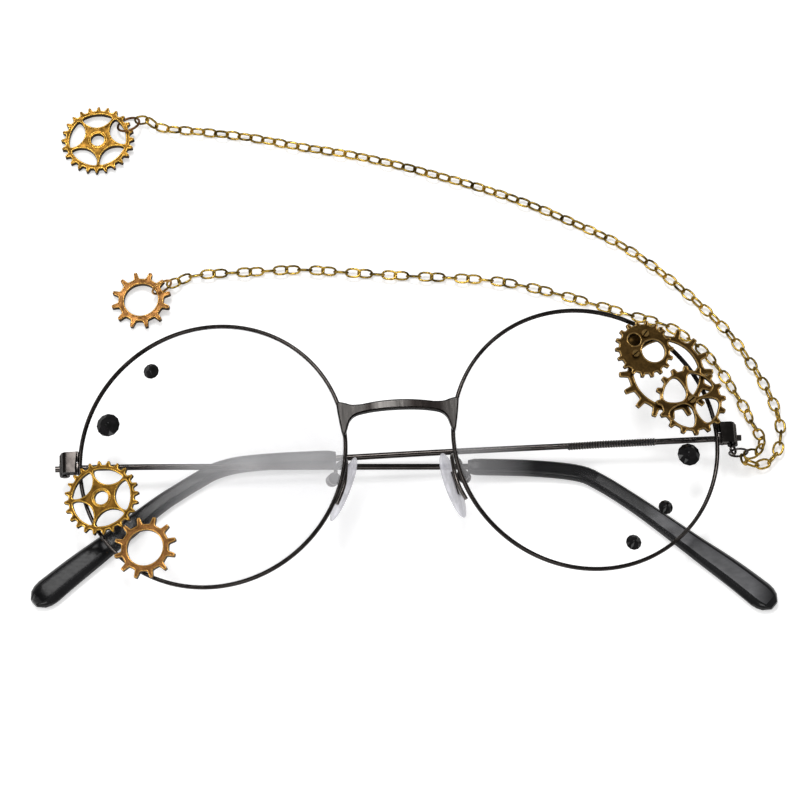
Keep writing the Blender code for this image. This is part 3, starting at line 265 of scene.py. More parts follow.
def soft_clear(tree, colour, alpha):
    """The pads' clear silicone: cloudy, streaked along its length, with painted shade on its edge and a
    faint painted glow.
    """
    streaks = noise(tree, 420.0, 4.0, (1.0, 0.35, 1.0))
    cloud = noise(tree, 260.0, 3.0)
    # Painted shade: darker where the surface turns away from the view
    edge = spread(tree, add(tree, "LayerWeight", {"Blend": 0.45}, "Facing"), 0.0, 0.75, 0.25, 0.9)
    base = ramp(tree, streaks, (0.38, darker(colour, 0.62)), (0.64, colour))
    # Painted glow: the pad gives off a little light of its own colour
    return {"Emission Color": colour, "Emission Strength": 0.1, "IOR": 1.43,
            "Base Color": mixed(tree, edge, base, darker(colour, 0.55)),
            "Roughness": spread(tree, cloud, 0.1, 0.28),
            "Alpha": spread(tree, streaks, alpha * 0.75, alpha * 1.3),
            "Normal": bump(tree, streaks, 0.35, 0.0001)}


def black_plastic(tree, colour, shine=0.4):
    patches = noise(tree, 150.0, 4.0)
    scuffs = noise(tree, 800.0, 5.0, (1.0, 3.0, 1.0))
    return {"Specular IOR Level": shine,
            "Base Color": ramp(tree, patches, (0.3, darker(colour, 0.7)), (0.7, darker(colour, 1.8))),
            "Roughness": spread(tree, scuffs, 0.12, 0.26), "Normal": bump(tree, scuffs, 0.12, 0.00003)}


def dull_plastic(tree, colour):
    """The right-hand paddle's flat top: scuffed, with a grey reflection painted along its length."""
    scuffs = noise(tree, 500.0, 5.0, (1.0, 2.0, 1.0))
    # Painted reflection: grey levels along the paddle's length
    rubbed = [(x, (level, level, 1.06 * level))
              for x, level in ((0.42, 0.012), (0.5, 0.13), (0.66, 0.075), (0.86, 0.11), (0.95, 0.02))]
    tones = ramp(tree, along_x(tree, 0.03, 0.075), (0.0, colour), *rubbed, (1.0, colour))
    return {"Specular IOR Level": 0.3,
            "Base Color": mixed(tree, spread(tree, scuffs, 0.0, 0.35), tones, colour),
            "Roughness": spread(tree, scuffs, 0.3, 0.42), "Normal": bump(tree, scuffs, 0.12, 0.00003)}


def black_stone(tree):
    clouds = noise(tree, 700.0, 3.0)
    return {"Specular IOR Level": 0.3, "Roughness": spread(tree, clouds, 0.03, 0.08),
            "Base Color": ramp(tree, clouds, (0.35, grey(0.002)), (0.75, (0.012, 0.011, 0.012))),
            "Normal": bump(tree, clouds, 0.05, 0.00002)}


def seen(tree):
    """1 for rays from the camera and for those that the lenses pass on."""
    rays = [add(tree, "LightPath", {}, kind) for kind in ("Is Camera Ray", "Is Transmission Ray")]
    return combined(tree, "MAXIMUM", *rays)


def pale_floor(tree):
    return {"Roughness": 0.9, "Specular IOR Level": 0.1, "Emission Color": grey(1),
            "Base Color": ramp(tree, noise(tree, 3.0, 2.0), (0.3, grey(0.84)), (0.7, grey(0.86))),
            "Emission Strength": spread(tree, seen(tree), 0.0, 0.4, 0.0, 1.0)}


# Each finish: its material's name, its maker, the shares of each colour that it takes, and its numbers
FINISHES = {
    "gunmetal": ("gunmetal plating", plated_metal, {"gunmetal": [1], "worn_gunmetal": [1]}, (0.14, 0.3)),
    "dark gunmetal": ("blackened gunmetal", plated_metal, {"gunmetal": [0.22], "worn_gunmetal": [0.6]},
                      (0.12, 0.26)),
    "steel": ("dark drawn steel", plated_metal, {"gunmetal": [0.8], "worn_gunmetal": [0.8]}, (0.09, 0.2),
              (0.2, 3.0, 3.0)),
    "rib": ("rubbed ribs", plated_metal, {"worn_gunmetal": [1, 1.6]}, (0.2, 0.4)),
    # The satin finish's second colour is its painted highlight
    "satin": ("satin bridge metal", satin_metal, {}, (0.02, 0.017, 0.016), (0.19, 0.18, 0.172)),
    "olive": ("olive gold face", cast_metal, {"olive_gold": [0.45, 1.4]}),
    "gold": ("bright gold edge", cast_metal, {"bright_gold": [0.62, 1]}, (0.22, 0.4), 0.15),
    "copper": ("copper face", cast_metal, {"copper": [0.6, 1.3]}),
    "bright copper": ("golden copper edge", cast_metal, {"bright_copper": [0.62, 1]}, (0.22, 0.4), 0.15),
    "bronze": ("bronze face", cast_metal, {"bronze": [0.55, 1.3]}),
    # The dark patina paints shade on the gears' side walls and in the screw slots
    "patina": ("dark patina", cast_metal, {"bronze": [0.12, 0.5]}),
    "bright bronze": ("worn bronze edge", cast_metal, {"bright_bronze": [0.55, 1]}, (0.22, 0.42), 0.2),
    "chain": ("aged brass chain", cast_metal, {"chain": [0.22, 2.0]}, (0.2, 0.38), 0.5, 900.0),
    "screw": ("worn brass screw", cast_metal, {"bright_bronze": [0.35, 0.9]}, (0.25, 0.45), 0.3),
    "lens": ("clear lens", lens_clear, {}),
    "pad": ("clear pad", soft_clear, {}, (0.93, 0.92, 0.98), 0.66),
    "plastic": ("black tip plastic", black_plastic, {"plastic": [1]}),
    "matte plastic": ("matte tip top", black_plastic, {"plastic": [1]}, 0.09),
    "dull plastic": ("scuffed tip top", dull_plastic, {"plastic": [1]}),
    "stone": ("black stone", black_stone, {}),
    "floor": ("pale floor", pale_floor, {}),
}
OLIVE_GEAR, COPPER_GEAR = ("olive", "gold"), ("copper", "bright copper")
BRONZE_GEAR = ("bronze", "bright bronze")
MADE = {}


def finish(name):
    """A finish by name, made when it is first asked for."""
    if name not in MADE:
        label, maker, tones, *numbers = FINISHES[name]
        tones = [darker(getattr(colours(), key), share)
                 for key, shares in tones.items() for share in shares]
        material = MADE[name] = bpy.data.materials.new(label)
        material.use_nodes = True
        tree = material.node_tree
        feed(tree.nodes["Principled BSDF"], maker(tree, *tones, *numbers))
    return MADE[name]


# Shapes
def to_mesh(name, bm, weld=True, outward=True):
    if weld:
        bmesh.ops.remove_doubles(bm, verts=bm.verts, dist=1e-6)
    if outward:
        bmesh.ops.recalc_face_normals(bm, faces=bm.faces)
    mesh = bpy.data.meshes.new(name)
    bm.to_mesh(mesh)
    bm.free()
    return mesh


def linked(name, data):
    made = bpy.data.objects.new(name, data)
    bpy.context.scene.collection.objects.link(made)
    return made


def piece(name, bm, finishes, body, slot, node=None, smooth=40, **how):
    """A finished shape as a piece of the model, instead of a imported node: its place is in its mesh."""
    mesh = to_mesh(name, bm, **how)
    if smooth:
        mesh.shade_smooth()
        mesh.set_sharp_from_angle(angle=radians(smooth))
    made = linked(name, mesh)
    for finish_name in finishes:
        mesh.materials.append(finish(finish_name))
    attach(made, body)
    if node:
        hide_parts(node)
    return made


def soften(obj, width, segments=2, degrees=35):
    edge = obj.modifiers.new("Soft edges", "BEVEL")
    edge.width = width
    edge.segments = segments
    edge.limit_method = "ANGLE"
    edge.angle_limit = radians(degrees)
    edge.use_clamp_overlap = True
    return edge


def put(bm, matrix, verts=None):
    bmesh.ops.transform(bm, matrix=matrix, verts=verts or bm.verts)


def fill_holes(bm):
    bmesh.ops.holes_fill(bm, edges=[e for e in bm.edges if e.is_boundary], sides=0)


def add_spun(bm, profile, steps, matrix, closed=False, material=0, angle=2 * pi):
    """A profile of radius and height spun round Z, then put in its place."""
    verts = [bm.verts.new((r, 0, z)) for r, z in profile]
    pairs = list(zip(verts, verts[1:])) + ([(verts[-1], verts[0])] if closed else [])
    edges = [bm.edges.new(pair) for pair in pairs]
    before = set(bm.faces)
    full = angle == 2 * pi
    bmesh.ops.spin(bm, geom=verts + edges, cent=(0, 0, 0), axis=(0, 0, 1), angle=angle, steps=steps,
                   use_merge=full)
    points = {v for f in bm.faces if f not in before for v in f.verts}
    if not full:
        fill_holes(bm)
    bmesh.ops.remove_doubles(bm, verts=list(points), dist=1e-7)
    faces = [f for f in bm.faces if f not in before]
    bmesh.ops.recalc_face_normals(bm, faces=faces)
    for face in faces:
        face.material_index = material
    put(bm, matrix, list({v for f in faces for v in f.verts}))


def curve_mesh(outlines, closed, **settings):
    """A curve of one spline for each outline, as a mesh."""
    curve = bpy.data.curves.new("curve", "CURVE")
    for key, value in settings.items():
        setattr(curve, key, value)
    for points in outlines:
        spline = curve.splines.new("POLY")
        spline.points.add(len(points) - 1)
        spline.use_cyclic_u = closed
        for spot, point in zip(spline.points, points):
            spot.co = (*point, 1)
    holder = linked("curve", curve)
    bpy.context.view_layer.update()
    mesh = bpy.data.meshes.new_from_object(holder.evaluated_get(bpy.context.evaluated_depsgraph_get()))
    bpy.data.objects.remove(holder)
    bpy.data.curves.remove(curve)
    return mesh


def wire(points, radius, closed=False, resolution=3):
    """A round wire along points, as a mesh."""
    return curve_mesh([points], closed, dimensions="3D", bevel_depth=radius, bevel_resolution=resolution,
                      use_fill_caps=not closed)


def at_height(points, z=0):
    return [(x, y, z) for x, y in points]


def plate(outlines, thickness):
    """A flat plate between 0 and its thickness: its edge first, then its holes."""
    mesh = curve_mesh([at_height(outline) for outline in outlines], True, dimensions="2D", fill_mode="BOTH",
                      extrude=thickness / 2)
    mesh.transform(shift(0, 0, thickness / 2))
    return mesh


def add_mesh(bm, mesh, material=0, matrix=Matrix()):
    """Another mesh's shape joined in, with one material."""
    mesh.transform(matrix)
    known = set(bm.faces)
    bm.from_mesh(mesh)
    fresh = {v for face in bm.faces if face not in known for v in face.verts}
    bmesh.ops.remove_doubles(bm, verts=list(fresh), dist=1e-7)
    for face in bm.faces:
        if face not in known:
            face.material_index = material
    bpy.data.meshes.remove(mesh)


def loft(stations, sides, shape=None):
    """A circle carried from station to station by extruding its edges, with both ends filled."""
    bm = bmesh.new()
    ring = bmesh.ops.create_circle(bm, segments=sides, radius=1.0)["verts"]
    if shape:
        for vert in ring:
            vert.co = shape(vert.co)
    put(bm, stations[0], ring)
    edges = list(bm.edges)
    for before, after in zip(stations, stations[1:]):
        made = bmesh.ops.extrude_edge_only(bm, edges=edges)["geom"]
        verts = [g for g in made if isinstance(g, bmesh.types.BMVert)]
        known = set(verts)
        edges = [g for g in made if isinstance(g, bmesh.types.BMEdge) and set(g.verts) <= known]
        put(bm, after @ before.inverted(), verts)
    fill_holes(bm)
    return bm


def dressed(node, finish_name, slot, softness, body="frame", smooth=40):
    """A merged copy of a small CAD piece with its edges softened."""
    bm = bmesh.new()
    bm.from_mesh(bpy.data.objects[node].data)
    bmesh.ops.remove_doubles(bm, verts=bm.verts, dist=1e-6)
    bmesh.ops.dissolve_limit(bm, angle_limit=radians(2), verts=bm.verts, edges=bm.edges)
    made = piece(node + "_worn", bm, [finish_name], body, slot, node, smooth, weld=False)
    soften(made, softness * sizes().soft_edge)
    return made


def neighbours(points):
    """Each point of an outline with the one after it."""
    return list(zip(points, points[1:] + points[:1]))


def inset(points, distance):
    """An outline moved by a distance to its inner side."""
    area = sum(a[0] * b[1] - b[0] * a[1] for a, b in neighbours(points)) / 2
    side = 1 if area > 0 else -1
    moved = []
    for before, (here, after) in zip([points[-1]] + points[:-1], neighbours(points)):
        one = (Vector(here) - Vector(before)).normalized()
        two = (Vector(after) - Vector(here)).normalized()
        normal = Vector((-(one.y + two.y), one.x + two.x)).normalized() * side
        stretch = min(1 / max(abs(normal.dot(Vector((-one.y, one.x)))), 0.6), 1.5)
        moved.append(tuple(Vector(here) + normal * distance * stretch))
    return moved


def rounded(points, share=0.25):
    """Each corner of an outline cut off."""
    return [tuple(Vector(here).lerp(Vector(after), part))
            for here, after in neighbours(points) for part in (share, 1 - share)]


def polar(radius, turn, centre=(0, 0)):
    return (centre[0] + radius * cos(turn), centre[1] + radius * sin(turn))


def circle(radius, count, centre=(0, 0)):
    return [polar(radius, 2 * pi * k / count, centre) for k in range(count)]


def toothed(teeth, tip, root_share, base_share, tip_share, phase):
    """A gear's outline: the tooth's widths are shares of the space from tooth to tooth."""
    corners = ((-base_share, root_share), (-tip_share, 1), (tip_share, 1), (base_share, root_share))
    return [polar(tip * height, phase + (2 * k + across) * pi / teeth)
            for k in range(teeth) for across, height in corners]


def window(middle, inner, outer, half_angle, shape):
    """A gear's window: its half shape, given along the radius and across it, and its mirror image."""
    mirrored = [(along, -across) for along, across in reversed(shape) if across]
    return [polar(inner + (outer - inner) * along, middle + half_angle * across)
            for along, across in shape + mirrored]


def cast_gear(name, node, outlines, thickness, matrix, finishes, body, slot, plain=(), collars=()):
    """A cast gear: a recessed face with a raised, rubbed edge along every outline, and painted shade in
    dark patina on its side walls.
    """
    bead, recess = sizes().rim_bead, sizes().recess
    outlines = [outline if k in plain else rounded(rounded(outline, 0.1 if k == 0 else 0.2))
                for k, outline in enumerate(outlines)]
    bm = bmesh.new()
    add_mesh(bm, plate(outlines, thickness - recess))
    bm.normal_update()
    # Painted shade: the side walls take the dark patina
    for face in bm.faces:
        face.material_index = 0 if abs(face.normal.z) > 0.5 else 2
    lines = [inset(outline, bead * (0.9 if k == 0 else -0.9)) for k, outline in enumerate(outlines)]
    for line in lines + [circle(radius, 36) for radius in collars]:
        add_mesh(bm, wire(at_height(line, thickness - bead), bead, True, 2), 1)
    put(bm, matrix)
    return piece(name, bm, [*finishes, "patina"], body, slot, node, 50, weld=False, outward=False)


def through(points, spacing):
    """Points at an even spacing along a smooth curve through the route's own points."""
    pts = [Vector(p) for p in points]
    pts = [2 * pts[0] - pts[1]] + pts + [2 * pts[-1] - pts[-2]]
    dense = []
    for a, b, c, d in zip(pts, pts[1:], pts[2:], pts[3:]):
        for k in range(24):
            t = k / 24
            dense.append(0.5 * (2 * b + (c - a) * t + (2 * a - 5 * b + 4 * c - d) * t ** 2
                                + (3 * b - a - 3 * c + d) * t ** 3))
    dense.append(pts[-2])
    length = sum((q - p).length for p, q in zip(dense, dense[1:]))
    count = max(1, round(length / spacing))
    even, walked, step = [dense[0]], 0.0, length / count
    for p, q in zip(dense, dense[1:]):
        part = (q - p).length
        while walked + part >= step * len(even) and len(even) < count:
            even.append(p.lerp(q, (step * len(even) - walked) / part))
        walked += part
    return even + [dense[-1]]


def axes_at(origin, x_axis, y_axis, z_axis):
    return Matrix.Translation(origin) @ Matrix((x_axis, y_axis, z_axis)).transposed().to_4x4()


def sideways(along):
    """The level direction across a way."""
    return UP.cross(along).normalized()


# The camera, at the photograph's angle
CAMERA_RISE, CAMERA_TURN, CAMERA_DISTANCE = radians(65.5), radians(-2.896), 0.8
CAMERA_TARGET = Vector(mm(1.414, 18.745, 0))
# Half the picture's width against the lens's length, both in pixels
CAMERA_VIEW = 2 * atan(400 / 3941)


class GLASSES_OT_camera(bpy.types.Operator):
    """Set the camera over the table"""
    bl_idname = "glasses.camera"
    bl_label = "Camera"

    def execute(self, context):
        across = Vector((cos(CAMERA_TURN), sin(CAMERA_TURN), 0))
        level = cos(CAMERA_RISE)
        back = Vector((sin(CAMERA_TURN) * level, -cos(CAMERA_TURN) * level, sin(CAMERA_RISE)))
        data = bpy.data.cameras.new("camera")
        data.sensor_fit = "HORIZONTAL"
        data.angle = CAMERA_VIEW
        data.clip_start, data.clip_end = 0.01, 20
        made = linked("camera", data)
        place = CAMERA_TARGET + back * CAMERA_DISTANCE
        made.matrix_world = axes_at(place, across, back.cross(across), back)
        context.scene.camera = made
        return {"FINISHED"}


# The gears that the lenses and the charms share
WINDOW_GEAR_R, RING_GEAR_R, RING_CHARM_R = mm(7.65, 6.36, 6.17)
CHARM_THICKNESS, GEAR_THICKNESS, THIN_GEAR = mm(1.2, 1.0, 0.7)
FIVE_WINDOW = [(0, 0), (0.124, 0.63), (0.42, 0.95), (0.69, 1.03), (0.95, 1.0), (1.0, 0.85), (1.0, 0.3)]
FOUR_WINDOW = [(0, 0), (0.075, 0.76), (0.2, 0.97), (0.42, 1.0), (0.68, 0.93), (0.85, 0.84), (0.946, 0.73),
               (0.989, 0.54), (1.0, 0)]


def window_gear(name, node, phase, first_window, thickness, matrix, body):
    """A gear of 24 teeth with five windows, and a hole with a raised collar in its middle."""
    r = WINDOW_GEAR_R
    windows = [window(first_window + 2 * pi * k / 5, 0.365 * r, 0.785 * r, radians(32.5), FIVE_WINDOW)
               for k in range(5)]
    outlines = [toothed(24, r, 0.88, 0.56, 0.19, phase), *windows, circle(0.185 * r, 28)]
    return cast_gear(name, node, outlines, thickness, matrix, OLIVE_GEAR, body, "gold", (6,), (0.245 * r,))


def ring_gear(name, node, radius, phase, thickness, matrix, body, slot):
    """A gear of 12 teeth with one large hole."""
    outlines = [toothed(12, radius, 0.765, 0.42, 0.21, phase), circle(0.572 * radius, 56)]
    return cast_gear(name, node, outlines, thickness, matrix, COPPER_GEAR, body, slot, (1,))


# Chains, their jump rings and the two charms
ANCHOR_RING_R, UPPER_RING_R, LOWER_RING_R, RING_WIRE_R = mm(1.85, 2.35, 2.15, 0.25)
LINK_PITCH, BAR_PAST_JOINT, CHAIN_WIRE_R, HOOK_GAP, CHAIN_LEVEL = mm(2.5, 0.15, 0.25, 0.2, 1.25)
LINK_POINTS = 12
RING_LEAN, UPPER_END_TURN, LOWER_END_SLOPE = radians(32), radians(35), radians(-25)
UPPER_EXIT_SLOPE, LOWER_EXIT_SLOPE = radians(-62), radians(-8)
# Each charm's middle, and the way and the distance from it to the middle of its jump ring
UPPER_CHARM = (mm(-59.1, 78.1), radians(26.9), 7.29 * MM)
LOWER_CHARM = (mm(-50.9, 40.4), radians(27.8), 4.9 * MM)
# How far the lower charm lies under the middle of its upright ring
LOWER_CHARM_DROP = 0.6 * MM
CHAIN_ROUTE = {
    "upper": [(-46.1, 80.4), (-37.7, 79.0), (-27.3, 77.1), (-17.0, 74.4), (-6.6, 72.0), (3.6, 68.9),
              (9.8, 66.7), (20.0, 62.9), (30.1, 58.4), (40.1, 53.0), (48.1, 48.2), (55.8, 41.6),
              (63.4, 33.6), (69.0, 26.5), (73.4, 18.4), (76.2, 11.6), (77.4, 6.0), (76.9, 1.7),
              (75.3, -1.4), (72.5, -2.8)],
    "lower": [(-41.9, 44.9), (-38.7, 45.7), (-28.4, 45.8), (-18.1, 45.8), (-7.9, 44.6), (2.4, 43.4),
              (12.6, 42.4), (22.8, 41.0), (32.9, 38.1), (42.9, 34.4), (50.9, 31.3), (55.9, 29.5),
              (60.7, 25.8), (64.8, 21.1), (68.0, 15.3), (70.4, 10.2), (71.6, 6.7, 1.6), (72.8, 3.5, 2.5),
              (73.1, 0.7, 3.7), (72.3, -1.1, 4.7)],
}
EYE_FAR, EYE_SWING = 3.8 * MM, radians(40)
ANCHOR_AT = (Vector((HINGE_X, HINGE_Y - EYE_FAR, HINGE_Z))
             + Vector((sin(EYE_SWING), 0, -cos(EYE_SWING))) * ANCHOR_RING_R)


def level(points):
    """A route's points in metres, on the chains' level where they give none."""
    return [Vector((x * MM, y * MM, z[0] * MM if z else CHAIN_LEVEL)) for x, y, *z in points]


def hook_reach(ring_radius):
    return ring_radius - RING_WIRE_R - HOOK_GAP - CHAIN_WIRE_R


def anchor_bar(slope):
    """A chain's end in the anchor ring, and the way it leaves the ring."""
    hook = Vector((cos(slope), 0, sin(slope)))
    return ANCHOR_AT + hook * (hook_reach(ANCHOR_RING_R) + BAR_PAST_JOINT), hook


def roll_of(bar, along):
    return atan2(bar.dot(along.cross(sideways(along))), bar.dot(sideways(along)))


def charm_matrix(at, turn, ring_from, near_height, far_radius):
    """The charm's frame on the table, raised where its jump ring passes under it."""
    tilt = atan2(near_height - CHARM_THICKNESS / 2, ring_from + far_radius)
    along = Vector((cos(turn), sin(turn), 0))
    centre = Vector((at[0], at[1], CHARM_THICKNESS / 2 + tan(tilt) * far_radius))
    turned = Matrix.Rotation(turn, 4, "Z") @ Matrix.Rotation(-tilt, 4, "Y")
    ring_at = centre + along * ring_from + UP * tan(tilt) * ring_from
    turned = Matrix.Translation(centre) @ turned @ shift(0, 0, -CHARM_THICKNESS / 2)
    return GLASSES @ turned, ring_at, along


def link_mesh():
    """One oval link of round wire, in the XY plane."""
    def fuller(value):
        return copysign(abs(value) ** 0.8, value)

    turns = [2 * pi * (k + 0.5) / LINK_POINTS for k in range(LINK_POINTS)]
    points = [(fuller(cos(a)) * sizes().link_half, fuller(sin(a)) * sizes().link_side, 0) for a in turns]
    bm = bmesh.new()
    add_mesh(bm, wire(points, sizes().link_wire, True, 1))
    return to_mesh("link", bm)


def chain(side, route, first_bar, step, with_pieces):
    """Interlocking links along the route, from the hinge to the charm."""
    shared = through(route, LINK_PITCH)
    count = len(shared) - 1
    start_roll = roll_of(first_bar, (shared[1] - shared[0]).normalized())
    end_roll = roll_of(Vector((0, 1, 0)), (shared[-1] - shared[-2]).normalized())
    twist = (end_roll - start_roll - (count - 1) * step + pi / 2) % pi - pi / 2
    link = link_mesh()
    bm = bmesh.new()
    for k, (start, end) in enumerate(zip(shared, shared[1:])):
        along = (end - start).normalized()
        roll = start_roll + k * (step + twist / (count - 1))
        width = sideways(along) * cos(roll) + along.cross(sideways(along)) * sin(roll)
        place = GLASSES @ axes_at((start + end) / 2, along, width, along.cross(width))
        known = len(bm.verts)
        bm.from_mesh(link)
        bm.verts.ensure_lookup_table()
        put(bm, place, bm.verts[known:])
    bpy.data.meshes.remove(link)
    name = "chain_" + side
    made = piece(name + "_links", bm, ["chain"], "frame", "bronze", name, 70, weld=False)
    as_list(with_pieces)


def jump_ring(name, node, radius, matrix, cut_at, finish_name, body, slot):
    """A round wire ring with the narrow cut where it was closed."""
    gap = 0.09 * MM / radius
    turns = [2 * pi * k / 12 for k in range(12)]
    profile = [(radius + RING_WIRE_R * cos(a), RING_WIRE_R * sin(a)) for a in turns]
    bm = bmesh.new()
    add_spun(bm, profile, 60, matrix @ Matrix.Rotation(cut_at + gap, 4, "Z"), True, 0, 2 * pi - 2 * gap)
    return piece(name, bm, [finish_name], body, slot, node, 50, weld=False)


class GLASSES_OT_chains(bpy.types.Operator):
    """Make both chains with their jump rings and gear charms"""
    bl_idname = "glasses.chains"
    bl_label = "Chains and charms"

    def execute(self, context):
        self.upper(dressed("anchor_ring", "gunmetal", "gunmetal", 0.3, smooth=60))
        self.lower()
        return {"FINISHED"}

    def upper(self, anchor):
        """The long chain, with a leaning jump ring and the charm with windows."""
        height = UPPER_RING_R * sin(RING_LEAN) + RING_WIRE_R
        place, ring_at, along = charm_matrix(*UPPER_CHARM, height, WINDOW_GEAR_R)
        charm = window_gear("charm_with_five_windows", "five_window_charm", 0, radians(-8.9),
                            CHARM_THICKNESS, place, "upper_charm")
        normal = UP * cos(RING_LEAN) + UP.cross(along) * sin(RING_LEAN)
        flat_way = normal.cross(along)
        ring = jump_ring("upper_jump_ring", "jump_ring_upper", UPPER_RING_R,
                         GLASSES @ axes_at(ring_at, along, flat_way, normal), radians(250), "copper",
                         "upper_charm", "gold")
        out_way = along * cos(UPPER_END_TURN) - flat_way * sin(UPPER_END_TURN)
        start = ring_at + along * hook_reach(UPPER_RING_R) + out_way * BAR_PAST_JOINT
        last, hook = anchor_bar(UPPER_EXIT_SLOPE)
        route = [start, start + out_way * LINK_PITCH, *level(CHAIN_ROUTE["upper"])]
        chain("upper", route + [last + hook * LINK_PITCH, last], normal, pi / 2, [ring, charm, anchor])

    def lower(self):
        """The short chain, with an upright jump ring and the charm with a round hole."""
        height = LOWER_RING_R + RING_WIRE_R
        place, rim_at, along = charm_matrix(*LOWER_CHARM, height - LOWER_CHARM_DROP, RING_CHARM_R)
        charm = ring_gear("charm_with_round_hole", "ring_gear_charm", RING_CHARM_R, radians(11.5),
                          CHARM_THICKNESS, place, "lower_charm", "gold")
        ring_at = Vector((rim_at.x, rim_at.y, height))
        across = UP.cross(along)
        ring = jump_ring("lower_jump_ring", "jump_ring_lower", LOWER_RING_R,
                         GLASSES @ axes_at(ring_at, along, UP, -across), radians(60), "bright copper",
                         "lower_charm", "gunmetal")
        bar_way = along * cos(LOWER_END_SLOPE) + UP * sin(LOWER_END_SLOPE)
        start = ring_at + bar_way * (hook_reach(LOWER_RING_R) + BAR_PAST_JOINT)
        last, _ = anchor_bar(LOWER_EXIT_SLOPE)
        chain("lower", [start, *level(CHAIN_ROUTE["lower"]), last], across, radians(60), [ring, charm])


# Rims and lenses
RIM_SECTION, LUG_SIZE = mm(0.42, 0.58), mm(1.35, 2.05, 0.9)
RIM_GROOVE, LUG_OUT, LUG_APART = mm(0.36, 0.425, 1.175)
LENS_EDGE, LENS_THICKNESS, LENS_GAP, LENS_FRONT, LENS_DOME = mm(0.3, 1.0, 0.1, 0.5, 0.6)


def lens_front(radius):
    """The height of the lens's domed front over the middle of its edge."""
    return LENS_FRONT + LENS_DOME * (1 - (radius / RIM_INNER) ** 2)


class GLASSES_OT_rims(bpy.types.Operator):
    """Make the two round rims with their split lugs"""
    bl_idname = "glasses.rims"
    bl_label = "Rims"

    def execute(self, context):
        middle = RIM_INNER + RIM_WALL / 2
        profile = [(middle + RIM_SECTION[0] * cos(a), RIM_SECTION[1] * sin(a))
                   for a in (radians(150 - 20 * k) for k in range(16))]
        for side, s in SIDES.items():
            bm = bmesh.new()
            add_spun(bm, profile + [(RIM_INNER + RIM_GROOVE, 0)], 144, LENS[side], True)
            for way in (-1, 1):
                cube = bmesh.ops.create_cube(bm, size=1.0)["verts"]
                bmesh.ops.scale(bm, verts=cube, vec=LUG_SIZE)
                edges = list({e for v in cube for e in v.link_edges})
                lug = bmesh.ops.bevel(bm, geom=edges, offset=0.12 * MM, segments=2, profile=0.5,
                                      affect="EDGES", material=-1)["verts"]
                place = shift(s * (RIM_OUTER + LUG_OUT), HINGE_Y + way * LUG_APART, 0)
                put(bm, LENS[side] @ place, lug)
            name = "rim_" + side
            piece(name + "_wire", bm, ["gunmetal"], "frame", "gunmetal", name)
            dressed("rim_screw_" + side, "steel", "steel", 0.4)
        return {"FINISHED"}


class GLASSES_OT_lenses(bpy.types.Operator):
    """Make the two clear lenses"""
    bl_idname = "glasses.lenses"
    bl_label = "Lenses"

    def execute(self, context):
        body = RIM_INNER - LENS_GAP
        front = [(body * k / 10, lens_front(body * k / 10)) for k in range(11)]
        edge = [(body, 0.28 * MM), (body + LENS_EDGE, 0), (body, -0.28 * MM)]
        back = [(r, z - LENS_THICKNESS) for r, z in reversed(front)]
        for side in SIDES:
            bm = bmesh.new()
            add_spun(bm, front + edge + back, 128, LENS[side])
            piece("clear_lens_" + side, bm, ["lens"], "frame", "lens", "lens_" + side, 30)
        return {"FINISHED"}


# Bridge: half its outline, in shares of its half width and in millimetres over the lenses' middle
BRIDGE_HALF_WIDTH, BRIDGE_THICKNESS, BRIDGE_HEIGHT = mm(12.2, 1.6, 5.45)
BRIDGE_ARCH, BRIDGE_TOP, BRIDGE_FALL = 0.72, 7.75, 1.05
BRIDGE_SIDE = [(0.75, 7.0), (0.86, 7.5), (1, 7.85), (0.965, 4.275), (0.915, 0.7), (0.865, 0.95),
               (0.835, 2.0), (0.795, 3.6), (0.735, 4.5), (0.66, 5.05), (0.45, 5.55), (0.22, 5.79)]
BRIDGE_UNDER = 5.85


class GLASSES_OT_bridge(bpy.types.Operator):
    """Make the flat arched bridge with its two wings"""
    bl_idname = "glasses.bridge"
    bl_label = "Bridge"

    def execute(self, context):
        arch = [(k * BRIDGE_ARCH, BRIDGE_TOP - BRIDGE_FALL * k ** 2)
                for k in (0.15, 0.3, 0.45, 0.6, 0.72, 0.82)]
        half = [(x * BRIDGE_HALF_WIDTH, y * MM) for x, y in arch + BRIDGE_SIDE]
        mirrored = [(-x, y) for x, y in reversed(half)]
        outline = [(0, BRIDGE_TOP * MM), *half, (0, BRIDGE_UNDER * MM), *mirrored]
        bm = bmesh.new()
        add_mesh(bm, plate([rounded(outline, 0.2)], BRIDGE_THICKNESS))
        put(bm, FRONT @ shift(0, 0, BRIDGE_HEIGHT))
        bmesh.ops.dissolve_limit(bm, angle_limit=radians(1), verts=bm.verts, edges=bm.edges)
        # Painted shade: the sides and softened edges take the blackened gunmetal
        for face in bm.faces:
            face.material_index = 0 if face.normal.z > 0.8 else 1
        made = piece("flat_bridge", bm, ["satin", "dark gunmetal"], "frame", "gunmetal", "bridge")
        soften(made, 0.28 * MM, 3, 50).material = 1
        return {"FINISHED"}


# Endpieces and hinges
class GLASSES_OT_hinges(bpy.types.Operator):
    """Finish the endpieces, the hinge screws and the temple leaves"""
    bl_idname = "glasses.hinges"
    bl_label = "Hinges"

    def execute(self, context):
        for side in SIDES:
            dressed("endpiece_" + side, "dark gunmetal", "gunmetal", 2)
            dressed("hinge_screw_" + side, "steel", "steel", 0.5)
            dressed("temple_leaf_" + side, "dark gunmetal", "gunmetal", 1, side + "_temple")
        return {"FINISHED"}


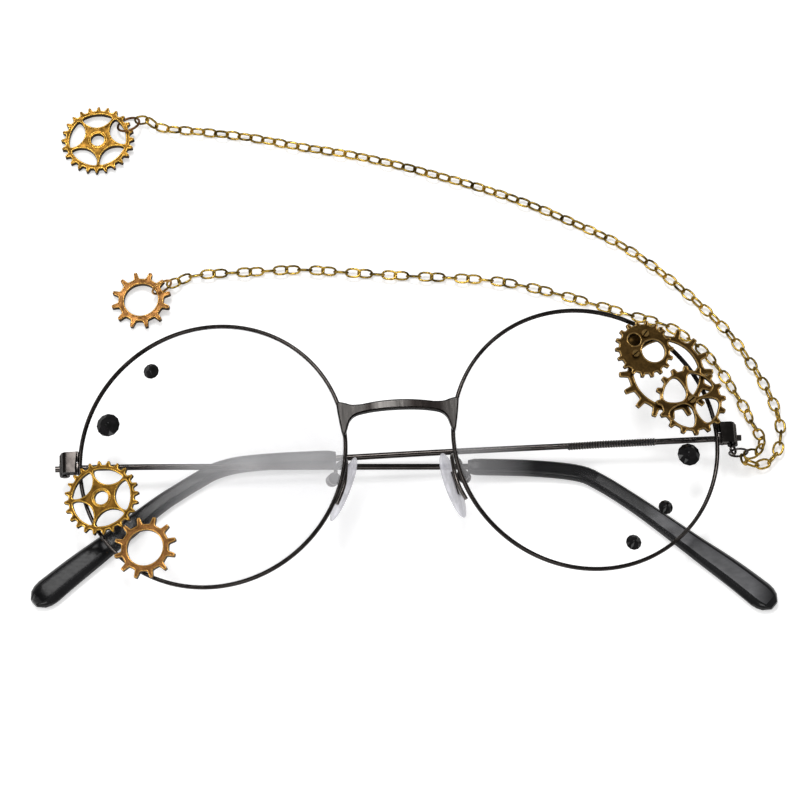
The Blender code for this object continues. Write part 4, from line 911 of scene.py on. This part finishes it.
# Temples: wires and plastic tips
WIRE_R, WIRE_DROP, WIRE_HEEL, WIRE_IN_TIP, SLOPE_START, ARM_LENGTH = mm(0.62, 1.4, 2.0, 12, 3.52, 103.0)
TIP_WIDTH, PADDLE_WIDTH, PADDLE_EXTRA, TIP_THICKNESS, PADDLE_THICKNESS = mm(3.5, 4.9, 0.9, 2.3, 2.6)
WIRE_ROUTE = {
    "left": [(-49.9, 1.5), (-19.9, 0.6)],
    "right": [(40.5, 2.05), (11.0, 2.55)],
}
TIP_ROUTE = {
    "left": [(13.8, -0.4), (26.6, -1.15), (35.8, -2.5), (40.1, -4.7), (45.7, -8.9), (51.5, -13.8),
             (58.4, -19.9), (65.5, -26.1), (72.7, -33.0)],
    "right": [(-12.6, 2.75), (-24.0, 2.95), (-32.0, 2.7), (-37.0, 1.6), (-40.4, -0.2), (-44.4, -2.6),
              (-48.8, -5.5), (-59.2, -13.6), (-66.1, -18.9), (-73.7, -25.1)],
}
# Shares of the sleeve's width and height at its first stations, and at its last ones from the end
TIP_START = [(0.8, 0.72), (0.96, 0.94)]
TIP_END = [(0.35, 0.5), (0.78, 0.82), (0.94, 0.96)]
# A quarter of the sleeve's section, from its side to its top
TIP_SECTION = [(1, 0), (0.99, 0.22), (0.9, 0.5), (0.76, 0.82), (0.66, 0.95), (0.55, 1.0), (0.28, 1.01),
               (0, 1.01)]
TIP_SIDES = 28
RIB_COUNT, RIB_ROUTE_END = 33, (63.2, 1.65)
RIB_START, RIB_HEIGHT, RIB_SEAT = mm(51.5, 0.2, 0.02)


def arm_height(x, s):
    """The arm slopes from the hinge down to the table and runs flat from its bend."""
    base = TIP_THICKNESS / 2 - 0.1 * MM
    far = min(max(abs(x - s * HINGE_X), SLOPE_START), ARM_LENGTH)
    high = HINGE_Z - WIRE_DROP
    return high - (high - base) * (far - SLOPE_START) / (ARM_LENGTH - SLOPE_START)


def in_hinge(side, x, y):
    s = SIDES[side]
    return Vector((x - s * HINGE_X, y - HINGE_Y, arm_height(x, s) - HINGE_Z))


def route_in_hinge(side, route):
    return [in_hinge(side, x * MM, y * MM) for x, y in route]


def wire_points(side):
    s = SIDES[side]
    first, second = route_in_hinge(side, TIP_ROUTE[side][:2])
    heel = Vector((s * WIRE_HEEL, 0, -WIRE_DROP))
    straight = Vector((-s * SLOPE_START, 0, -WIRE_DROP))
    route = [straight, *route_in_hinge(side, WIRE_ROUTE[side]), first]
    return [heel, *through(route, 4 * MM), first + (second - first).normalized() * WIRE_IN_TIP]


def tip_shape(co):
    """The sleeve's section: a flat top between two sloping sides, and a rounded underside."""
    x, y = TIP_SECTION[round(atan2(abs(co.y), abs(co.x)) * TIP_SIDES / (2 * pi))]
    return Vector((copysign(x, co.x), copysign(y, co.y), 0))


def within(value, start, width):
    """How far a value is through a stretch, from 0 to 1."""
    return min(max((value - start) / width, 0), 1)


def tip_stations(side):
    centres = through(route_in_hinge(side, TIP_ROUTE[side]), 1.2 * MM)
    last = len(centres) - 1
    stations = []
    for k, centre in enumerate(centres):
        along = (centres[min(k + 1, last)] - centres[max(k - 1, 0)]).normalized()
        across = sideways(along)
        swell = within(k / last, 0.45, 0.4)
        swell = swell * swell * (3 - 2 * swell)
        width = TIP_WIDTH + (PADDLE_WIDTH - TIP_WIDTH) * swell + PADDLE_EXTRA * within(k / last, 0.72, 0.24)
        height = TIP_THICKNESS + (PADDLE_THICKNESS - TIP_THICKNESS) * swell
        for place, shares in ((k, TIP_START), (last - k, TIP_END)):
            if place < len(shares):
                width *= shares[place][0]
                height *= shares[place][1]
        stations.append(axes_at(centre, across * width / 2, along.cross(across) * height / 2,
                                along * width / 2))
    return stations


class GLASSES_OT_temples(bpy.types.Operator):
    """Make the temple wires, the right one's ribs and the plastic tips"""
    bl_idname = "glasses.temples"
    bl_label = "Temples"

    def execute(self, context):
        for side in SIDES:
            body = side + "_temple"
            bm = bmesh.new()
            add_mesh(bm, wire(wire_points(side), WIRE_R, False, 4), 0, HINGE[side])
            piece("arm_wire_" + side, bm, ["steel"], body, "steel", "temple_wire_" + side, 50)
            bm = loft([HINGE[side] @ m for m in tip_stations(side)], TIP_SIDES, tip_shape)
            bmesh.ops.bisect_plane(bm, geom=bm.verts[:] + bm.edges[:] + bm.faces[:], plane_co=(0, 0, 0),
                                   plane_no=(0, 0, -1), clear_outer=True)
            fill_holes(bm)
            # The right paddle's flat top takes the scuffed finish with its painted reflection
            for face in bm.faces:
                top = 1 if face.calc_center_median().x > 40 * MM else 2
                face.material_index = top if face.normal.z > 0.985 else 0
            piece("plastic_tip_" + side, bm, ["plastic", "dull plastic", "matte plastic"], body, "tip",
                  "temple_tip_" + side, 28)
        self.ribs()
        return {"FINISHED"}

    def ribs(self):
        """The finely ribbed stretch of the right wire, whose grooves take the black tip plastic as painted
        shade.
        """
        half = sizes().rib_pitch / 2
        (x0, y0), (x1, y1) = WIRE_ROUTE["right"][0], RIB_ROUTE_END
        stations = []
        for k in range(2 * RIB_COUNT + 1):
            x = RIB_START - k * half
            share = max((x / MM - x0) / (x1 - x0), 0)
            centre = in_hinge("right", x, (y0 + (y1 - y0) * share) * MM)
            radius = WIRE_R + (RIB_HEIGHT if k % 2 else RIB_SEAT)
            place = axes_at(centre, Vector((0, radius, 0)), UP * radius, Vector((radius, 0, 0)))
            stations.append(HINGE["right"] @ place)
        bm = loft(stations, 16)
        start = RIB_START + HINGE["right"].translation.x - HINGE_X
        for face in bm.faces:
            # Painted shade: every other band, the grooves, takes the black plastic
            face.material_index = floor((start - face.calc_center_median().x) / half) % 2
        piece("arm_ribs_right", bm, ["rib", "plastic"], "right_temple", "steel", None, 20)


# Nose pads
PAD_TOP = {"left": mm(-8.9, -0.75, -3.0), "right": mm(8.75, -0.75, -3.0)}
PAD_LEAN = {"left": radians(22), "right": radians(14)}
PAD_SPLAY = {"left": radians(18), "right": radians(25)}
PAD_LENGTH, PAD_WIDTH, PAD_THICKNESS, PAD_WIRE_R = mm(14.0, 7.5, 2.1, 0.4)
PAD_WIRE_REACH = {"left": RIM_OUTER + 0.05 * MM, "right": RIM_OUTER + 0.5 * MM}
# Where the pad's box lies behind the pad and over its middle, and the bend in the wire before it
PAD_BOX_BACK, PAD_BOX_UP, BEND_SIDE, BEND_UP, BEND_FORWARD = mm(2.5, 2.4, 0.2, 1.3, 0.9)
# The bent wire along the rim's back: degrees under the nose side, and millimetres inwards and forwards
PAD_WIRE_ROUTE = ((27, 0, -0.75), (22, 0, -0.95), (17, 0.1, -1.25), (11, 0.6, -2.0), (6, 1.2, -3.4))


def pad_matrix(side, s):
    lean, splay = PAD_LEAN[side], PAD_SPLAY[side]
    down = Vector((s * sin(lean), -cos(lean), 0))
    face = Vector((-s * cos(lean), -sin(lean), 0))
    out = face * cos(splay) - UP * sin(splay)
    across = (UP * cos(splay) + face * sin(splay)) * s
    return FRONT @ axes_at(Vector(PAD_TOP[side]) + down * PAD_LENGTH / 2, down, across, out)


class GLASSES_OT_nose_pads(bpy.types.Operator):
    """Make the clear nose pads and finish their arms, boxes and screws"""
    bl_idname = "glasses.nose_pads"
    bl_label = "Nose pads"

    def execute(self, context):
        for side, s in SIDES.items():
            bm = bmesh.new()
            bmesh.ops.create_uvsphere(bm, u_segments=40, v_segments=20, radius=1.0)
            for vert in bm.verts:
                x, y, z = vert.co
                depth = (0.62 if z > 0 else 0.38) * PAD_THICKNESS
                vert.co = (x * PAD_LENGTH / 2, y * (1 - 0.12 * x) * PAD_WIDTH / 2, z * depth)
            put(bm, pad_matrix(side, s))
            name = "nose_pad_" + side
            piece("soft_" + name, bm, ["pad"], side + "_pad", "nose_pad", name, 80)
            dressed("pad_insert_" + side, "steel", "steel", 0.8, side + "_pad")
            dressed("pad_box_" + side, "gunmetal", "gunmetal", 1)
            dressed("pad_screw_" + side, "steel", "steel", 0.4)
            self.pad_wire(side, s)
        return {"FINISHED"}

    def pad_wire(self, side, s):
        """The bent wire from the back of the rim to the pad's box."""
        pad = FRONT.inverted() @ pad_matrix(side, s)
        down, out = pad.to_3x3().col[0], pad.to_3x3().col[2]
        end = pad.translation - out * PAD_BOX_BACK - down * PAD_BOX_UP
        points = []
        for degrees, inwards, height in PAD_WIRE_ROUTE:
            x, y = polar(PAD_WIRE_REACH[side] - inwards * MM, radians(degrees))
            points.append(FRONT.inverted() @ LENS[side] @ Vector((-s * x, -y, height * MM)))
        points += [end - down * BEND_UP + Vector((s * BEND_SIDE, 0, BEND_FORWARD)), end]
        bm = bmesh.new()
        add_mesh(bm, wire(through(points, 0.7 * MM), PAD_WIRE_R), 0, FRONT)
        name = "pad_arm_" + side
        piece(name + "_wire", bm, ["gunmetal"], "frame", "gunmetal", name, 50)


# Gears on the lenses
LARGE_RING_R, LARGE_RING_ROOT_R, LARGE_RING_HOLE_R = mm(9.8, 7.96, 6.85)
DISC_GEAR_R, FOUR_WINDOW_GEAR_R, GEAR_MESH_GAP = mm(6.05, 7.3, 0.1)
LEFT_WINDOW_GEAR_AT, RING_GEAR_WAY = mm(-22.33, -6.87), radians(-52.7)
LARGE_RING_AT, DISC_GEAR_AT, FOUR_WINDOW_GEAR_AT = mm(17.1, 13.52), mm(12.65, 18.18), mm(21.48, 7.48)
# The disc gear's two holes: radius, count of points and place, in shares of the gear's radius
DISC_HOLES = ((0.395, 40, 0.3, -0.065), (0.215, 28, -0.33, 0.31))
GEAR_SCREWS = {"disc_gear_screw_a": 40, "disc_gear_screw_b": 52, "four_window_gear_screw": 38}
PIVOT_R = 0.212 * DISC_GEAR_R
# The dished pivot's outline, in shares of its radius and of its gear's thickness
PIVOT = ((0, 0.45), (0.35, 0.42), (0.45, 0.3), (0.75, 0.25), (0.86, 0.6), (0.99, 0.6), (0.99, 0.1),
         (0, 0.1))


def glued_height(centre, radius):
    """The height of the lens's front under a disc's highest place, with the glue."""
    return lens_front(max(hypot(*centre) - radius, 0)) + GLUE


def bed_height(centre, radius):
    return max(glued_height(centre, radius), RIM_DEPTH / 2 + GLUE)


def on_lens(side, centre, height):
    return LENS[side] @ shift(centre[0], centre[1], height)


class GLASSES_OT_left_gears(bpy.types.Operator):
    """Make the two meshing gears on the left lens"""
    bl_idname = "glasses.left_gears"
    bl_label = "Left gears"

    def execute(self, context):
        at = LEFT_WINDOW_GEAR_AT
        window_gear("left_gear_with_windows", "five_window_gear", radians(2), radians(0.5), GEAR_THICKNESS,
                    on_lens("left", at, bed_height(at, WINDOW_GEAR_R)), "frame")
        at = polar(WINDOW_GEAR_R + RING_GEAR_R + GEAR_MESH_GAP, RING_GEAR_WAY, at)
        ring_gear("left_ring_gear", "ring_gear", RING_GEAR_R, radians(10.4), GEAR_THICKNESS,
                  on_lens("left", at, bed_height(at, RING_GEAR_R)), "frame", "copper")
        return {"FINISHED"}


class GLASSES_OT_right_gears(bpy.types.Operator):
    """Make the large ring gear and the two gears screwed over it"""
    bl_idname = "glasses.right_gears"
    bl_label = "Right gears"

    def execute(self, context):
        bed = bed_height(LARGE_RING_AT, LARGE_RING_R)
        upper, thickness = bed + THIN_GEAR + GLUE, 0.8 * GEAR_THICKNESS
        outlines = [toothed(16, LARGE_RING_R, LARGE_RING_ROOT_R / LARGE_RING_R, 0.40, 0.26, radians(3)),
                    circle(LARGE_RING_HOLE_R, 72)]
        cast_gear("right_large_ring_gear", "large_ring_gear", outlines, THIN_GEAR,
                  on_lens("right", LARGE_RING_AT, bed), BRONZE_GEAR, "frame", "copper", (1,))
        r, disc_place = DISC_GEAR_R, on_lens("right", DISC_GEAR_AT, upper)
        holes = [circle(size * r, count, (x * r, y * r)) for size, count, x, y in DISC_HOLES]
        cast_gear("right_disc_gear", "disc_gear", [toothed(18, r, 0.865, 0.52, 0.32, radians(2)), *holes],
                  thickness, disc_place, BRONZE_GEAR, "frame", "bronze", (1, 2))
        r = FOUR_WINDOW_GEAR_R
        windows = [window(radians(61.5 + 90 * k), 0.165 * r, 0.805 * r, radians(38.5), FOUR_WINDOW)
                   for k in range(4)]
        cast_gear("right_gear_with_windows", "four_window_gear",
                  [toothed(16, r, 0.87, 0.5, 0.28, radians(5)), *windows], thickness,
                  on_lens("right", FOUR_WINDOW_GEAR_AT, upper), BRONZE_GEAR, "frame", "bronze")
        self.small_pivot(disc_place, thickness)
        for node, turn in GEAR_SCREWS.items():
            self.slotted_screw(node, radians(turn))
        return {"FINISHED"}

    def slotted_screw(self, node, turn):
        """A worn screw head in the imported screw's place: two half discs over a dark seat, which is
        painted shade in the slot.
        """
        spots = [LENS["right"].inverted() @ v.co for v in bpy.data.objects[node].data.vertices]
        low, high = (Vector([pick(p[i] for p in spots) for i in range(3)]) for pick in (min, max))
        r, tall = (high.x - low.x) / 2, high.z - low.z
        place = on_lens("right", (low + high) / 2, low.z) @ Matrix.Rotation(turn, 4, "Z")
        bm = bmesh.new()
        # Painted shade: the seat under the slot takes the dark patina
        seat = [(0, 0), (0.97 * r, 0), (0.97 * r, 0.58 * tall), (0, 0.58 * tall)]
        add_spun(bm, seat, 28, place, material=1)
        side, slot = 0.92 * r, 0.17 * r
        start = asin(slot / side)
        for way in (0, pi):
            half = [polar(side, way + start + (pi - 2 * start) * k / 12) for k in range(13)]
            add_mesh(bm, plate([half], 0.9 * tall), 0, place @ shift(0, 0, 0.1 * tall))
        made = piece(node + "_slotted", bm, ["screw", "patina"], "frame", "steel", node, weld=False)
        soften(made, 0.06 * MM, 2, 50)

    def small_pivot(self, place, thickness):
        """The dark dished pivot in the disc gear's small hole."""
        _, _, x, y = DISC_HOLES[1]
        middle = place @ shift(x * DISC_GEAR_R, y * DISC_GEAR_R, 0)
        bm = bmesh.new()
        add_spun(bm, [(PIVOT_R * r, thickness * z) for r, z in PIVOT], 32, middle)
        piece("disc_gear_pivot", bm, ["patina"], "frame", "bronze", None, 35)


# Stones: their lens, place and radius in millimetres
STONES = {
    "stone_left_upper": ("left", -11.5, 18.6, 1.6),
    "stone_left_outer": ("left", -20.65, 8.25, 2.4),
    "stone_right_outer": ("right", 20.5, -3.55, 2.35),
    "stone_right_middle": ("right", 14.95, -14.55, 1.5),
    "stone_right_lower": ("right", 7.9, -21.85, 1.6),
}
STONE_HEIGHT, LARGEST_STONE_R = mm(1.7, 2.4)
FACETS = 12
# Each row of facets: its radius, its height, and whether it is turned by half a facet
FACET_ROWS = ((0.88, 0.0, 0), (1.0, 0.26, 0), (0.6, 0.66, 1), (0.14, 1.0, 0))


class GLASSES_OT_stones(bpy.types.Operator):
    """Make the black faceted stones"""
    bl_idname = "glasses.stones"
    bl_label = "Stones"

    def execute(self, context):
        for name, (side, *place) in STONES.items():
            x, y, radius = (value * MM for value in place)
            height = STONE_HEIGHT * (0.55 + 0.45 * radius / LARGEST_STONE_R)
            place = on_lens(side, (x, y), glued_height((x, y), radius))
            stations = []
            for share, tall, half_turn in FACET_ROWS:
                turned = Matrix.Rotation(pi / FACETS * half_turn, 4, "Z")
                sized = Matrix.Diagonal((radius * share, radius * share, radius * share, 1))
                stations.append(place @ shift(0, 0, height * tall) @ turned @ sized)
            bm = loft(stations, FACETS)
            bmesh.ops.triangulate(bm, faces=[f for f in bm.faces if len(f.verts) == 4])
            soften(piece(name + "_cut", bm, ["stone"], "frame", "stone", name, None), 0.03 * MM, 1, 12)
        return {"FINISHED"}


# Floor and lights: each lamp's place, size and power
LAMPS = {
    "key lamp": ((-0.12, 0.38, 0.93), 0.30, 3.9),
    "fill lamp": ((-0.75, -0.1, 0.7), 0.4, 2.1),
    "front lamp": ((-0.1, -0.8, 0.55), 0.4, 1.3),
}
LAMP_TARGET = Vector((0, 0.02, 0))


class GLASSES_OT_stage(bpy.types.Operator):
    """Make the pale floor, the soft lamps and the white surround"""
    bl_idname = "glasses.stage"
    bl_label = "Stage"

    def execute(self, context):
        bm = bmesh.new()
        bmesh.ops.create_grid(bm, x_segments=1, y_segments=1, size=3.0)
        put(bm, shift(0, 0, -0.02 * MM))
        floor_mesh = to_mesh("floor", bm, weld=False, outward=False)
        floor_mesh.materials.append(finish("floor"))
        linked("floor", floor_mesh)
        for name, (place, size, power) in LAMPS.items():
            data = bpy.data.lights.new(name, "AREA")
            data.shape = "SQUARE"
            data.size = size
            data.energy = power
            lamp = linked(name, data)
            lamp.location = place
            lamp.rotation_euler = (LAMP_TARGET - Vector(place)).to_track_quat("-Z", "Y").to_euler()
        self.world(context.scene)
        context.scene.view_settings.view_transform = "Standard"
        return {"FINISHED"}

    def world(self, scene):
        """White where it is seen, and dimmer where it lights the glasses or is reflected."""
        scene.world = bpy.data.worlds.new("studio")
        scene.world.use_nodes = True
        tree = scene.world.node_tree
        dim = spread(tree, add(tree, "LightPath", {}, "Is Glossy Ray"), 0.5, 0.22, 0.0, 1.0)
        feed(tree.nodes["Background"], {"Color": grey(1),
                                        "Strength": combined(tree, "MAXIMUM", dim, seen(tree))})


STEPS = (GLASSES_OT_camera, GLASSES_OT_chains, GLASSES_OT_rims, GLASSES_OT_lenses, GLASSES_OT_bridge,
         GLASSES_OT_hinges, GLASSES_OT_temples, GLASSES_OT_nose_pads, GLASSES_OT_left_gears,
         GLASSES_OT_right_gears, GLASSES_OT_stones, GLASSES_OT_stage)


class GLASSES_PT_panel(bpy.types.Panel):
    """The eyeglasses' settings and building steps"""
    bl_idname = "GLASSES_PT_panel"
    bl_label = "Steampunk eyeglasses"
    bl_space_type = "VIEW_3D"
    bl_region_type = "UI"
    bl_category = "Eyeglasses"

    def draw(self, context):
        layout = self.layout
        for group in (sizes(), colours()):
            column = layout.column(align=True)
            for key in group.__annotations__:
                column.prop(group, key)
        for step in STEPS:
            layout.operator(step.bl_idname)


CLASSES = (EyeglassSizes, EyeglassColours, *STEPS, GLASSES_PT_panel)


def register():
    for cls in CLASSES:
        bpy.utils.register_class(cls)
    bpy.types.Scene.eyeglass_sizes = bpy.props.PointerProperty(type=EyeglassSizes)
    bpy.types.Scene.eyeglass_colours = bpy.props.PointerProperty(type=EyeglassColours)


def unregister():
    del bpy.types.Scene.eyeglass_colours
    del bpy.types.Scene.eyeglass_sizes
    for cls in reversed(CLASSES):
        bpy.utils.unregister_class(cls)


def main():
    register()
    for step in STEPS:
        group, name = step.bl_idname.split(".")
        getattr(getattr(bpy.ops, group), name)()


if __name__ == "__main__":
    main()
